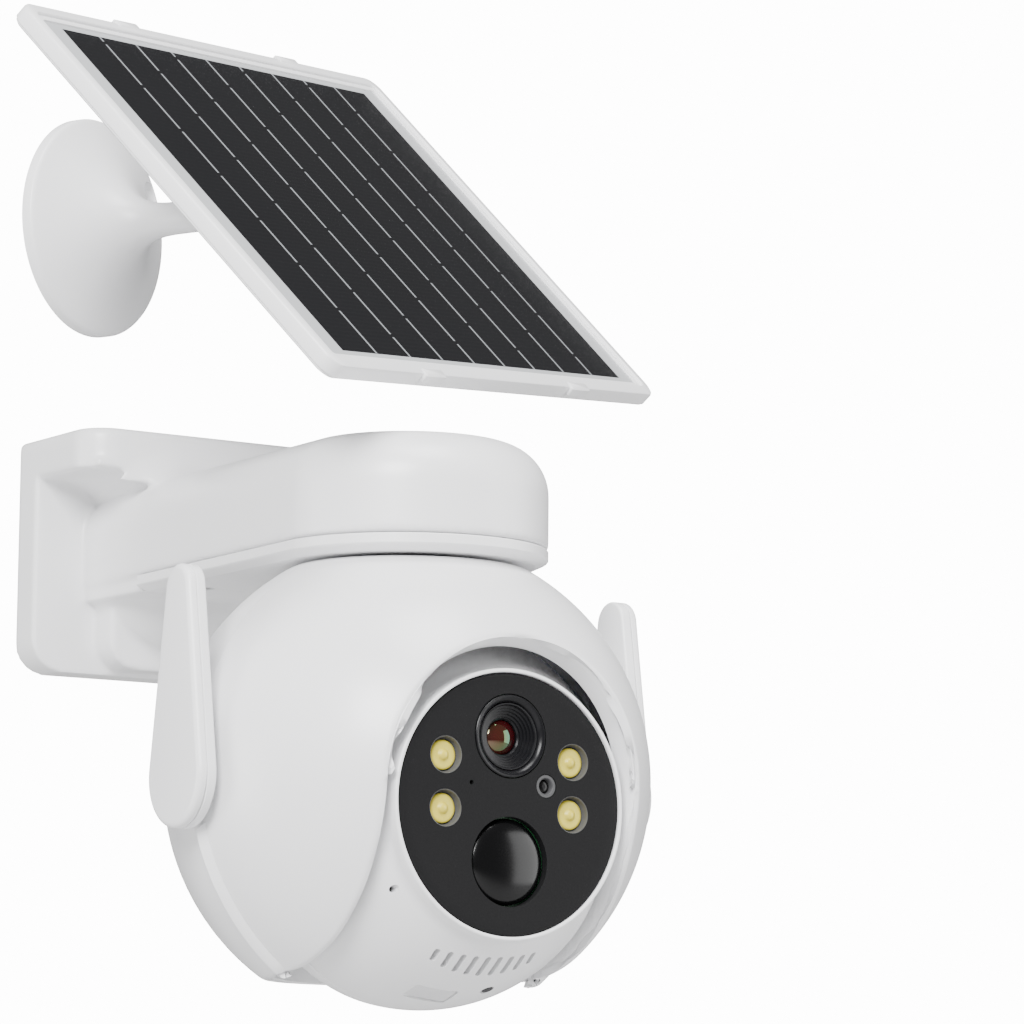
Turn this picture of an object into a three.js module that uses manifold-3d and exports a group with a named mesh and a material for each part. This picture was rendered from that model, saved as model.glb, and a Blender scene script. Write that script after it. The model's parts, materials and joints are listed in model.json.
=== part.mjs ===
// Solar-powered security camera: a wall bracket whose arm carries a panning ball housing, a tilting
// camera head inside it, two paddle antennas, and a solar panel on its own ball-jointed stand.
// Millimetres. The wall is the plane y = 0, the camera looks along -Y and Z is up.
// The origin is the middle of the bracket's back face.
import * as THREE from 'three';
import { mergeVertices } from 'three/addons/utils/BufferGeometryUtils.js';
import Module from 'manifold-3d';

const wasm = await Module();
wasm.setup();

// ---------------------------------------------------------------- driving dimensions
const GAP = 0.3; // clearance between touching pieces

// bracket
const BLOCK_W = 95;
const BLOCK_H = 66.6;
const HOOD_DEPTH = 43.4;
const HOOD_BOTTOM = 21.5;
const HOOD_CORNER = 10;
const FLANGE_DEPTH = 12;
const FLANGE_CORNER = 9.5;
const CENTRE_HALF = 28;
const CENTRE_DEPTH = 22.6;
const CENTRE_CORNER = 8.5;
const ARM_HALF = 31.6; // half width of the arm at the wall
const ARM_TOP = 20;
const ARM_FILLET = 14;
const ARM_PARTING = -8.3; // lower edge of the arm shell, above the lower cover
const ARM_BOTTOM = -12.9;
const CAP_R = 36.9;
const CAP_CHAMFER = 3.2;
const COVER_START = -46.3; // where the lower cover begins, going forward
const CHANNEL_HALF = 16; // cable channel in the arm
const CHANNEL_TOP = 14;
const CAP_BORE = 31;

// pan axis and ball housing
const PAN_Y = -136.4;
const BALL_Z = -70.2;
const BALL_R = 64.4;
const BALL_WALL = 2.8;
const BALL_SIDE = 62.6; // half width between the flats that carry the antennas
const BALL_TOP = 56.6; // flat top, above the ball's centre
const BALL_BOTTOM = -52.8;
const ARCH_HALF = 38.3; // half width of the opening at the outer surface
const LIP_HALF = 36.2; // and behind its step
const LIP_STEP = 4; // depth of the wide part of the lip
const LIP_DEPTH = 7.8; // depth of the whole lip
const LIP_WALL = 2.1;
const ARCH_Z = -4.3; // centre of the arch's round top, from the ball's centre
const SLOT_Y = -3.6; // centre of the opening's round end underneath
const NECK_R = 21;

// camera head
const HEAD_Y = -142.9; // tilt axis
const HEAD_Z = -79;
const HEAD_R = 51.5;
const HEAD_WALL = 2.4;
const HEAD_HALF = 35; // half width between the flat cheeks
const HEAD_BACK = 9; // flat back, behind the tilt axis
const HEAD_SPLIT = 2; // joint between front and rear shells
const RING_Y = -43.4; // front of the raised ring
const RING_R = 34.8;
const HEAD_SWEEP_R = 56.6; // room round the tilt axis for the ring's edge
const PLATE_R = 33.5;
const PLATE_FRONT = -42.9;
const PLATE_BACK = -40.6;
const LENS_Z = 17.4; // places on the face, above its centre
const PIR_Z = -14.7;
const LED_X = 19.4;
const LED_ROWS = [11.7, -1.8];
const SENSOR_AT = [11.1, 5.1];
const MIC_AT = [-11.7, 5];

// antennas
const ANTENNA_IN = 65.1; // inner face, out from the pan axis
const ANTENNA_OUT = 70.6;
const ANTENNA_Z = -1.8; // pivot, above the ball's centre
const ANTENNA_FOOT_R = 13.7;
const ANTENNA_TIP_R = 6.2;
const ANTENNA_LENGTH = 48.4; // between the two round ends' centres

// gears: module 1 mm
const PAN_TEETH = 48;
const TILT_TEETH = 40;
const PINION_TEETH = 10;

// stand and panel
const STAND_AT = [-33.83, -13.77, 95.4]; // middle of the wall disc's back face
const STAND_YAW = 25; // degrees that the stand is turned from the bracket's direction
const DISC_R = 31.5;
const DISC_EDGE = 3.4;
const STEM_R = 4.7;
const STEM_LENGTH = 56.2; // wall disc to ball centre
const STEM_NECK_R = 2.8; // thin end of the stem that carries the ball
const JOINT_BALL_R = 9;
const PANEL_W = 202;
const PANEL_H = 136;
const PANEL_T = 7.5;
const PANEL_LIFT = 40.9; // degrees from upright to the rest pose
const PANEL_SPIN = 9; // degrees about the panel's normal
const PANEL_OUT = 24; // ball centre to the panel's front plane
const PANEL_DROP = 24.7; // panel's middle below the ball, along the panel

// ---------------------------------------------------------------- colours
const paint = (color, roughness, metalness = 0) => () =>
  new THREE.MeshStandardMaterial({ color, roughness, metalness });
const white = paint(0xf2f2f3, 0.4);
const softWhite = paint(0xe4e4e6, 0.5);
const black = paint(0x2b2b2c, 0.35);
const glossBlack = paint(0x080809, 0.08);
const darkRubber = paint(0x3a3a3c, 0.8);
const whiteRubber = paint(0xd8d8da, 0.75);
const steel = paint(0xb4b6b9, 0.35, 0.9);
const brass = paint(0xb08d4a, 0.4, 0.8);
const board = paint(0x1f5a34, 0.6);
const yellow = paint(0xe0d670, 0.35);
const cells = paint(0x17181a, 0.3);
const clearGlass = paint(0xcfd8dc, 0.05);
const wrap = paint(0x2f6fae, 0.5);
const nylon = paint(0xe9e6da, 0.55);

// ---------------------------------------------------------------- solids
// A closed mesh as a manifold-3d solid, turned right side out.
function solid(geometry) {
  const bare = geometry.clone();
  bare.deleteAttribute('normal');
  bare.deleteAttribute('uv');
  const merged = mergeVertices(bare, 1e-4);
  const index = merged.index.array;
  const tris = [];
  for (let i = 0; i < index.length; i += 3) {
    const [a, b, c] = [index[i], index[i + 1], index[i + 2]];
    if (a !== b && b !== c && a !== c) tris.push(a, b, c);
  }
  const make = (triVerts) =>
    new wasm.Manifold(
      new wasm.Mesh({ numProp: 3, vertProperties: merged.attributes.position.array, triVerts }),
    );
  const result = make(new Uint32Array(tris));
  if (result.volume() > 0) return result;
  for (let i = 0; i < tris.length; i += 3) [tris[i], tris[i + 1]] = [tris[i + 1], tris[i]];
  return make(new Uint32Array(tris));
}

const join = (...parts) => parts.reduce((whole, part) => whole.add(part));
const cut = (whole, ...parts) => parts.reduce((rest, part) => rest.subtract(part), whole);
const common = (...parts) => parts.reduce((whole, part) => whole.intersect(part));

// Box between two corners.
function box(x0, x1, y0, y1, z0, z1) {
  const g = new THREE.BoxGeometry(x1 - x0, y1 - y0, z1 - z0);
  return solid(g.translate((x0 + x1) / 2, (y0 + y1) / 2, (z0 + z1) / 2));
}

// Turns a shape drawn with its axis along Z so that the axis points along X, Y or Z.
const AXES = {
  x: new THREE.Matrix4().makeBasis(
    new THREE.Vector3(0, 1, 0), new THREE.Vector3(0, 0, 1), new THREE.Vector3(1, 0, 0)),
  y: new THREE.Matrix4().makeBasis(
    new THREE.Vector3(0, 0, 1), new THREE.Vector3(1, 0, 0), new THREE.Vector3(0, 1, 0)),
  z: new THREE.Matrix4(),
};

// Round rod or disc of radius r along an axis, from a to b, centred on the other two coordinates.
function rod(axis, r, a, b, centre = [0, 0], segments = 24) {
  const g = new THREE.CylinderGeometry(r, r, b - a, segments).rotateX(Math.PI / 2);
  g.translate(0, 0, (a + b) / 2).applyMatrix4(AXES[axis]);
  return place(solid(g), axis, centre);
}

// Moves a solid in the plane across an axis; the two numbers are in X, Y, Z order.
function place(body, axis, [u, v]) {
  if (axis === 'x') return body.translate([0, u, v]);
  if (axis === 'y') return body.translate([u, 0, v]);
  return body.translate([u, v, 0]);
}

// Solid of revolution about an axis from a profile of [radius, height] points.
function lathe(axis, profile, centre = [0, 0], segments = 40) {
  const points = profile.map(([r, h]) => new THREE.Vector2(r, h));
  const g = new THREE.LatheGeometry(points, segments).rotateX(Math.PI / 2);
  return place(solid(g.applyMatrix4(AXES[axis])), axis, centre);
}

const ring = (axis, inner, outer, a, b, centre, segments) =>
  cut(rod(axis, outer, a, b, centre, segments), rod(axis, inner, a - 1, b + 1, centre, segments));

const sphere = (r, columns = 40, rows = 24) =>
  solid(new THREE.SphereGeometry(r, columns, rows).rotateX(Math.PI / 2));

// Extrudes an outline of [u, v] points: along -Y from a front view (x, z), along Z from a plan
// (x, y), or along X from a side view (y, z).
function prism(view, outline, a, b) {
  const shape = new THREE.Shape(outline.map(([u, v]) => new THREE.Vector2(u, v)));
  const g = new THREE.ExtrudeGeometry(shape, { depth: b - a, bevelEnabled: false, steps: 1 });
  g.translate(0, 0, a);
  if (view === 'front') g.rotateX(Math.PI / 2);
  if (view === 'side') g.applyMatrix4(AXES.x);
  return solid(g);
}

// Points of an arc in degrees, both ends included.
function arc(cx, cy, r, from, to, steps) {
  return Array.from({ length: steps + 1 }, (_, i) => {
    const t = THREE.MathUtils.degToRad(from + ((to - from) * i) / steps);
    return [cx + r * Math.cos(t), cy + r * Math.sin(t)];
  });
}

// Rectangle outline whose corners are rounded: lower pair and upper pair.
function roundedRect(x0, x1, y0, y1, lower, upper, steps = 4) {
  return [
    ...arc(x0 + lower, y0 + lower, lower, 180, 270, steps),
    ...arc(x1 - lower, y0 + lower, lower, 270, 360, steps),
    ...arc(x1 - upper, y1 - upper, upper, 0, 90, steps),
    ...arc(x0 + upper, y1 - upper, upper, 90, 180, steps),
  ];
}

// Skins rings of equal point count into a solid; the first and last rings are closed by fans.
function loft(rings) {
  const n = rings[0].length;
  const positions = rings.flat(2);
  const index = [];
  for (let k = 0; k + 1 < rings.length; k += 1) {
    for (let i = 0; i < n; i += 1) {
      const j = (i + 1) % n;
      const [a, b, c, d] = [k * n + i, k * n + j, (k + 1) * n + i, (k + 1) * n + j];
      index.push(a, b, d, a, d, c);
    }
  }
  const last = (rings.length - 1) * n;
  for (let i = 1; i + 1 < n; i += 1) index.push(0, i + 1, i, last, last + i, last + i + 1);
  const g = new THREE.BufferGeometry();
  g.setAttribute('position', new THREE.Float32BufferAttribute(positions, 3));
  g.setIndex(index);
  return solid(g);
}

// Spur gear of module 1 with straight-sided teeth, thinner than half the pitch so it runs free.
function gearOutline(teeth, phase) {
  const pitchR = teeth / 2;
  const points = [];
  const toothHalf = [[-1.1, 0.95], [0.6, 0.36]];
  for (let i = 0; i < teeth; i += 1) {
    const middle = ((i + phase) * 2 * Math.PI) / teeth;
    const side = (sign, [rise, half]) => {
      const r = pitchR + rise;
      const t = middle + (sign * half) / r;
      return [r * Math.cos(t), r * Math.sin(t)];
    };
    toothHalf.forEach((p) => points.push(side(-1, p)));
    [...toothHalf].reverse().forEach((p) => points.push(side(1, p)));
  }
  return points;
}

// ---------------------------------------------------------------- scene graph
const camera = new THREE.Group();

function group(parent, position, rotation = [0, 0, 0]) {
  const g = new THREE.Group();
  g.position.set(...position);
  g.rotation.set(...rotation.map(THREE.MathUtils.degToRad));
  parent.add(g);
  return g;
}

function piece(parent, name, body, material) {
  const mesh = body.getMesh();
  const g = new THREE.BufferGeometry();
  g.setAttribute('position', new THREE.Float32BufferAttribute(mesh.vertProperties, 3));
  g.setIndex(new THREE.BufferAttribute(mesh.triVerts, 1));
  g.computeVertexNormals();
  const node = new THREE.Mesh(g, material());
  node.name = name;
  parent.add(node);
  return node;
}

// ---------------------------------------------------------------- bracket and arm
// Plan outline of the arm: two straight sides tangent to the cap circle, shrunk by inset.
function armOutline(inset, wallEnd) {
  const reach = Math.hypot(ARM_HALF, PAN_Y);
  const lean = Math.atan2(-PAN_Y, ARM_HALF) - Math.acos(CAP_R / reach);
  const leanDeg = THREE.MathUtils.radToDeg(lean);
  const sideX = (CAP_R - inset + (PAN_Y - wallEnd) * Math.sin(lean)) / Math.cos(lean);
  const round = arc(0, PAN_Y, CAP_R - inset, -leanDeg, leanDeg - 180, 24);
  return [[sideX, wallEnd], ...round, [-sideX, wallEnd]];
}

function armLoft(levels, wallEnd) {
  return loft(levels.map(([inset, z]) => armOutline(inset, wallEnd).map(([x, y]) => [x, y, z])));
}

function bracketBody() {
  const half = BLOCK_W / 2;
  const [low, high] = [-BLOCK_H / 2, BLOCK_H / 2];
  const hoodPlan = (inset) => [
    [half - inset, 0],
    ...arc(half - HOOD_CORNER, -HOOD_DEPTH + HOOD_CORNER, HOOD_CORNER - inset, 0, -90, 8),
    ...arc(-half + HOOD_CORNER, -HOOD_DEPTH + HOOD_CORNER, HOOD_CORNER - inset, -90, -180, 8),
    [-half + inset, 0],
  ];
  const hood = loft(
    [[0, HOOD_BOTTOM], [0, high - 1.5], [0.5, high - 0.5], [1.5, high]].map(([inset, z]) =>
      hoodPlan(inset).map(([x, y]) => [x, y, z])),
  );
  const flange = prism('front', roundedRect(-half, half, low, high - 2, FLANGE_CORNER, 2), 0, FLANGE_DEPTH);
  const centre = prism('front',
    roundedRect(-CENTRE_HALF, CENTRE_HALF, low + 1, HOOD_BOTTOM + 1, CENTRE_CORNER, 1), 0, CENTRE_DEPTH);
  const bulge = common(
    solid(new THREE.SphereGeometry(1, 40, 24).scale(31, 29, 23).translate(0, -16, -6)),
    box(-40, 40, -45.9, 0, -40, 0),
  );
  const slab = box(-ARM_HALF, ARM_HALF, COVER_START + GAP, -5, ARM_BOTTOM, 0);
  const levels = Array.from({ length: 6 }, (_, i) => {
    const t = (i / 5) * Math.PI / 2;
    return [ARM_FILLET * (1 - Math.cos(t)), ARM_TOP - ARM_FILLET + ARM_FILLET * Math.sin(t)];
  });
  const arm = armLoft([[0, ARM_PARTING], ...levels], -5);
  return join(hood, flange, centre, bulge, slab, arm);
}

function bracketHollow() {
  const pocket = prism('front', roundedRect(-44, 44, -30, 30, 7, 4), -1, 9.5);
  const core = box(-24, 24, -40, -5, -8, 15);
  const channel = box(-CHANNEL_HALF, CHANNEL_HALF, PAN_Y, -35, ARM_PARTING + 2, CHANNEL_TOP);
  const channelMouth = box(-CHANNEL_HALF, CHANNEL_HALF, PAN_Y, COVER_START - 3, ARM_PARTING - 1, 0);
  const bore = rod('z', CAP_BORE, ARM_PARTING - 1, CHANNEL_TOP, [0, PAN_Y], 36);
  const lockScrew = join(
    rod('z', 1.9, -40, -20, [0, -5.6], 20), rod('z', 3.6, -40, -31.3, [0, -5.6], 24));
  return join(pocket, core, channel, channelMouth, bore, lockScrew);
}

const COVER_SCREWS = [[-20, -62], [20, -62]];

function armCoverBody() {
  const plate = armLoft(
    [[CAP_CHAMFER, ARM_BOTTOM], [0.5, -11.7], [0, -11.3], [0, ARM_PARTING - GAP]], COVER_START);
  const holes = COVER_SCREWS.map((at) =>
    join(rod('z', 1.4, -20, 0, at, 14), rod('z', 2.6, -20, -11.3, at, 14)));
  return cut(plate, rod('z', NECK_R + 1, -20, 0, [0, PAN_Y], 36), ...holes);
}

piece(camera, 'mount_bracket',
  cut(bracketBody(), bracketHollow(), ...COVER_SCREWS.map((at) => rod('z', 1.4, -12, -2, at, 14))), white);
piece(camera, 'arm_lower_cover', armCoverBody(), white);
COVER_SCREWS.forEach((at, i) => {
  const screw = join(rod('z', 1.1, -11.8, -3, at, 14), rod('z', 2.3, -12.7, -11.6, at, 14));
  piece(camera, `cover_screw_${i + 1}`, cut(screw, box(at[0] - 1.4, at[0] + 1.4, at[1] - 0.3,
    at[1] + 0.3, -14, -12.1)), steel);
});

// Steel plate that the bracket hangs on, folded down at the foot where the lock screw enters.
function wallPlateBody() {
  const plate = prism('front', roundedRect(-42, 42, -28, 28, 5, 3), 0, 1.5);
  const tab = cut(box(-9, 9, -9, -0.5, -28, -26.5), rod('z', 1.4, -30, -20, [0, -5.6], 20));
  const holes = [-30, 30].flatMap((x) => [-16, 16].map((z) => rod('y', 2.6, -3, 1, [x, z], 24)));
  return cut(join(plate, tab), ...holes);
}

piece(camera, 'wall_plate', wallPlateBody(), steel);
piece(camera, 'lock_screw', cut(
  join(rod('z', 1.1, -33, -24, [0, -5.6], 20), rod('z', 3.2, -33.1, -31.7, [0, -5.6], 24)),
  box(-2, 2, -5.9, -5.3, -34, -32.4)), steel);

// ---------------------------------------------------------------- pan drive in the cap
const PAN_PINION_Y = PAN_Y + (PAN_TEETH + PINION_TEETH) / 2;

piece(camera, 'pan_bearing', ring('z', NECK_R + GAP, 27, ARM_PARTING + GAP, -2.6, [0, PAN_Y], 28), steel);
piece(camera, 'pan_motor', join(
  rod('z', 12, 4.2, 13.4, [0, PAN_PINION_Y], 32), rod('z', 1.5, -2.4, 4.4, [0, PAN_PINION_Y], 20)), steel);

const panPinion = group(camera, [0, PAN_PINION_Y, 0]);
piece(panPinion, 'pan_pinion', cut(
  prism('plan', gearOutline(PINION_TEETH, 0), -2, 2.5), rod('z', 1.8, -3, 4, [0, 0], 20)), brass);

// ---------------------------------------------------------------- pan body: ball housing
const pan = group(camera, [0, PAN_Y, BALL_Z]);
const headInPan = [0, HEAD_Y - PAN_Y, HEAD_Z - BALL_Z];

// The opening, a straight-sided arch from the front and the same arch again from below.
function opening(half) {
  const frontArch = [...arc(0, ARCH_Z, half, 0, 180, 18), [-half, -80], [half, -80]];
  const slot = [...arc(0, SLOT_Y, half, 0, 180, 18), [-half, -80], [half, -80]];
  return join(prism('front', frontArch, 0, 80), prism('plan', slot, -80, -30));
}

function housingBody() {
  const trim = (inset) =>
    box(-BALL_SIDE + inset, BALL_SIDE - inset, -80, 80, BALL_BOTTOM + inset, BALL_TOP - inset);
  const outer = common(sphere(BALL_R), trim(0));
  const inner = common(sphere(BALL_R - BALL_WALL, 32, 18), trim(2.6));
  const lipZone = common(outer, opening(ARCH_HALF + LIP_WALL));
  const lip = cut(lipZone, sphere(BALL_R - LIP_DEPTH, 32, 18));
  const wide = cut(opening(ARCH_HALF), sphere(BALL_R - LIP_STEP, 32, 18));
  const hubHoles = rod('x', 6.4, -80, 80, [0.5, ANTENNA_Z], 28);
  const neckHole = rod('z', NECK_R + GAP, 40, 80, [0, 0], 36);
  const sweep = common(sphere(HEAD_SWEEP_R).translate(headInPan),
    box(-HEAD_HALF - 0.4, HEAD_HALF + 0.4, -80, 80, -80, 80));
  return cut(join(cut(outer, inner), lip), opening(LIP_HALF), wide, sweep, hubHoles, neckHole);
}

const PORT_TILT = -32; // degrees below level on the back, where the port and power button sit
const PORT_X = -10;
const BUTTON_X = 10;
const rear = group(pan, [0, 0, 0], [PORT_TILT, 0, 0]);

function rearHoles() {
  const seats = join(
    box(PORT_X - 6, PORT_X + 6, 56, 70, -3.5, 3.5),
    rod('y', 4.4, 56, 70, [BUTTON_X, 0], 28),
  );
  return seats.rotate([PORT_TILT, 0, 0]);
}

const housing = housingBody();
piece(pan, 'ball_front_shell', common(housing, box(-80, 80, -80, -GAP / 2, -80, 80)), white);
piece(pan, 'ball_rear_shell',
  cut(common(housing, box(-80, 80, GAP / 2, 80, -80, 80)), rearHoles()), white);

piece(pan, 'neck', cut(
  join(rod('z', NECK_R, 51.4, 73.2, [0, 0], 28), rod('z', 27, 51.4, 53.6, [0, 0], 28)),
  rod('z', 15, 50, 80, [0, 0], 24)), nylon);
piece(pan, 'pan_gear', cut(
  prism('plan', gearOutline(PAN_TEETH, 0), -2 - BALL_Z, 2.5 - BALL_Z),
  rod('z', NECK_R + GAP, 60, 80, [0, 0], 28)), nylon);

piece(pan, 'main_board', box(-20, 20, -14, 14, 45.6, 47.2), board);

// Two round cells side by side in one wrap, across the housing behind the head.
function batteryBody() {
  const cell = 9.1;
  const [a, b] = [[40.3, 7.3], [30.6, 24]];
  const [dy, dz] = [b[0] - a[0], b[1] - a[1]];
  const turn = THREE.MathUtils.radToDeg(Math.atan2(dz, dy));
  const lower = arc(...a, cell, turn + 90, turn + 270, 12);
  const upper = arc(...b, cell, turn - 90, turn + 90, 12);
  return prism('side', [...lower, ...upper], -32.5, 32.5);
}
piece(pan, 'battery_pack', batteryBody(), wrap);

piece(rear, 'charge_port', cut(
  box(PORT_X - 4.6, PORT_X + 4.6, 54, 60.4, -1.8, 1.8),
  box(PORT_X - 4, PORT_X + 4, 56, 62, -1.2, 1.2)), steel);
piece(rear, 'port_plug', join(
  box(PORT_X - 5.7, PORT_X + 5.7, 62.4, 63.9, -3.2, 3.2),
  box(PORT_X - 3.6, PORT_X + 3.6, 60.8, 62.6, -0.8, 1.0)), whiteRubber);
piece(rear, 'power_button', join(
  rod('y', 4.1, 61.8, 63.6, [BUTTON_X, 0], 28), rod('y', 1.5, 58.6, 62, [BUTTON_X, 0], 16)), whiteRubber);

// ---------------------------------------------------------------- tilt drive in the housing
const AXLE_R = 4.5;
const ARM_IN = 41;
const ARM_OUT = 43.2;
const TILT_PITCH = (TILT_TEETH + PINION_TEETH) / 2;
const MOTOR_AT = [headInPan[1] + TILT_PITCH * Math.SQRT1_2, headInPan[2] + TILT_PITCH * Math.SQRT1_2];

function tiltArmBody(x0, x1) {
  const eye = rod('x', 12, x0, x1, [headInPan[1], headInPan[2]], 28);
  const tongue = box(x0, x1, headInPan[1], 36, -18, 18);
  const bore = rod('x', AXLE_R + GAP, x0 - 1, x1 + 1, [headInPan[1], headInPan[2]], 28);
  return cut(join(eye, tongue), bore, rod('x', 2, x0 - 1, x1 + 1, MOTOR_AT, 16));
}

piece(pan, 'tilt_arm_left', tiltArmBody(-ARM_OUT, -ARM_IN), softWhite);
piece(pan, 'tilt_arm_right', tiltArmBody(ARM_IN, ARM_OUT), softWhite);
piece(pan, 'tilt_motor', join(
  rod('x', 9, ARM_OUT + GAP, 54, MOTOR_AT, 28), rod('x', 1.5, 36.6, 44, MOTOR_AT, 16)), steel);

const tiltPinion = group(pan, [0, ...MOTOR_AT], [45, 0, 0]);
piece(tiltPinion, 'tilt_pinion', cut(
  prism('side', gearOutline(PINION_TEETH, 0.5), 36.8, 40), rod('x', 1.8, 30, 45, [0, 0], 16)), brass);

// ---------------------------------------------------------------- antennas
// Paddle outline in the side view, wide round foot and narrow round tip, shrunk by inset.
function paddle(inset) {
  const lean = THREE.MathUtils.radToDeg(Math.asin((ANTENNA_FOOT_R - ANTENNA_TIP_R) / ANTENNA_LENGTH));
  return [
    ...arc(0, 0, ANTENNA_FOOT_R - inset, 180 - lean, 360 + lean, 22),
    ...arc(0, ANTENNA_LENGTH, ANTENNA_TIP_R - inset, lean, 180 - lean, 12),
  ];
}

function paddleLoft(levels) {
  return loft(levels.map(([inset, x]) => paddle(inset).map(([y, z]) => [x, y, z])));
}

for (const [side, sign] of [['left', -1], ['right', 1]]) {
  const antenna = group(pan, [0, 0.5, ANTENNA_Z]);
  const along = (levels) => levels.map(([inset, x]) => [inset, sign * x]);
  const spanX = (r, a, b) => rod('x', r, Math.min(sign * a, sign * b), Math.max(sign * a, sign * b));
  const inner = join(
    paddleLoft(along([[0.6, ANTENNA_IN], [0, ANTENNA_IN + 0.6], [0, 67.8]])),
    spanX(6, 57.4, ANTENNA_IN + 1), spanX(7.4, 57.4, 59.5));
  const outer = paddleLoft(along([[0, 68.1], [0, 69.2], [0.5, 70.1], [1.6, ANTENNA_OUT]]));
  piece(antenna, `antenna_${side}_inner`, inner, white);
  piece(antenna, `antenna_${side}_cover`, outer, white);
}

// ---------------------------------------------------------------- head: shells and face
const head = group(camera, [0, HEAD_Y, HEAD_Z]);
const FACE_BORE = 31;

// Profile of the head about the Y axis: ring, hollow fillet, then the sphere to its back pole.
function headProfile() {
  const filletR = 5;
  const filletX = RING_R + filletR;
  const filletY = -Math.sqrt((HEAD_R + filletR) ** 2 - filletX ** 2);
  const meet = THREE.MathUtils.radToDeg(Math.atan2(-filletY, -filletX));
  const start = THREE.MathUtils.radToDeg(Math.atan2(filletY, filletX));
  return [
    [0, RING_Y],
    [RING_R - 0.5, RING_Y],
    [RING_R, RING_Y + 0.5],
    ...arc(filletX, filletY, filletR, 180, meet, 3),
    ...arc(0, 0, HEAD_R, start + 4, 86, 14),
    [0, HEAD_R],
  ];
}

// Turned shape about Y with the first number of each point as the radius.
const turnedY = (profile, segments = 40) =>
  solid(new THREE.LatheGeometry(profile.map(([r, h]) => new THREE.Vector2(r, h)), segments));

const SPEAKER_PHI = 37; // degrees from straight down toward the front
const FLAP_PHI = 19.5;
const FLAP_X = -8;
const RESET_PHI = 24;
const RESET_X = 8;

// Turns a solid drawn hanging under the head, about the tilt axis toward the front.
const underHead = (body, phi) => body.rotate([-phi, 0, 0]);

function speakerSlots() {
  const count = 9;
  const pitch = 3.65;
  const topPhi = 41.5;
  const slots = Array.from({ length: count }, (_, i) => {
    const x = (i - (count - 1) / 2) * pitch;
    const length = 7.6 * Math.sqrt(1 - (x / 18) ** 2);
    const middle = topPhi - THREE.MathUtils.radToDeg(length / 2 / HEAD_R);
    const outline = roundedRect(x - 0.8, x + 0.8, -length / 2, length / 2, 0.79, 0.79, 2);
    return underHead(prism('plan', outline, -56, -46), middle);
  });
  return join(...slots);
}

function headBody() {
  const outer = common(turnedY(headProfile()), box(-HEAD_HALF, HEAD_HALF, -80, HEAD_BACK, -80, 80));
  const hollow = common(sphere(HEAD_R - HEAD_WALL, 30, 18), box(-HEAD_HALF + HEAD_WALL,
    HEAD_HALF - HEAD_WALL, -38, HEAD_BACK - HEAD_WALL, -80, 80));
  const seat = rod('y', PLATE_R + GAP, -80, PLATE_BACK + GAP, [0, 0], 56);
  const faceBore = rod('y', FACE_BORE, -80, -30, [0, 0], 36);
  const axleBore = rod('x', AXLE_R + GAP, -80, 80, [0, 0], 28);
  const flapSeat = cut(
    underHead(box(FLAP_X - 7.5, FLAP_X + 7.5, -4.1, 4.1, -60, -40), FLAP_PHI), sphere(HEAD_R - 1.8));
  const cardSlot = underHead(box(FLAP_X - 6, FLAP_X + 6, -1, 1, -60, -40), FLAP_PHI);
  const resetHole = underHead(rod('z', 1.9, -60, -40, [RESET_X, 0], 20), RESET_PHI);
  const sideHole = rod('y', 0.9, -60, -30, [-29.9, -22.3], 16);
  const openings = [seat, faceBore, axleBore, flapSeat, cardSlot, resetHole, sideHole, speakerSlots()];
  return cut(outer, hollow, ...openings);
}

const headSolid = headBody();
piece(head, 'head_front_shell', common(headSolid, box(-60, 60, -80, HEAD_SPLIT, -80, 80)), white);
piece(head, 'head_rear_shell', common(headSolid, box(-60, 60, HEAD_SPLIT + GAP, 80, -80, 80)), white);

const LED_HOLE_R = 4.85;
const ledPlaces = LED_ROWS.flatMap((z) => [-LED_X, LED_X].map((x) => [x, z]));

piece(head, 'face_plate', cut(
  rod('y', PLATE_R, PLATE_FRONT, PLATE_BACK, [0, 0], 36),
  rod('y', 10.9, -60, -30, [0, LENS_Z], 28), rod('y', 11.5, -60, -30, [0, PIR_Z], 28),
  rod('y', 2.7, -60, -30, SENSOR_AT, 20), rod('y', 0.6, -60, -30, MIC_AT, 12),
  ...ledPlaces.map((at) => rod('y', LED_HOLE_R, -60, -30, at, 16))), black);

piece(head, 'led_board', cut(
  rod('y', 30.4, -40.1, -38.8, [0, 0], 36), rod('y', 9.2, -50, -30, [0, LENS_Z], 32),
  rod('y', 0.6, -50, -30, MIC_AT, 12)), board);
ledPlaces.forEach((at, i) => {
  const lens = join(rod('y', 3.85, -41.2, -40.4, at, 12), rod('y', 1.3, -41.7, -41, at, 16));
  piece(head, `led_${i + 1}`, lens, yellow);
});
piece(head, 'light_sensor', rod('y', 2.3, -42.2, -40.4, SENSOR_AT, 20), glossBlack);

piece(head, 'pir_dome', lathe('y',
  [[0, -43.7], [3.5, -43.45], [7, -42.7], [9.6, -41.6], [11.1, -40.4], [0, -40.4]],
  [0, PIR_Z], 28), glossBlack);

piece(head, 'lens_bezel', lathe('y',
  [[8.9, -40.4], [8.9, -41.9], [9.6, -42.7], [10.2, -43.2], [10.6, -43.0], [10.6, -40.4], [8.9, -40.4]],
  [0, LENS_Z], 28), black);
piece(head, 'lens_barrel', lathe('y',
  [[0, -34], [4.7, -34], [4.7, -38.8], [5.4, -39], [5.4, -39.8], [6.3, -40], [6.3, -41],
    [7.4, -42.2], [8.5, -42.2], [8.5, -24], [0, -24]],
  [0, LENS_Z], 28), black);
piece(head, 'lens_glass', lathe('y',
  [[0, -39.8], [1.6, -39.6], [3.1, -39], [4.4, -38.1], [4.4, -35.5], [0, -35.5]],
  [0, LENS_Z], 32), glossBlack);
piece(head, 'image_board', box(-12, 12, -23.6, -22, LENS_Z - 12, LENS_Z + 12), board);

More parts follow.
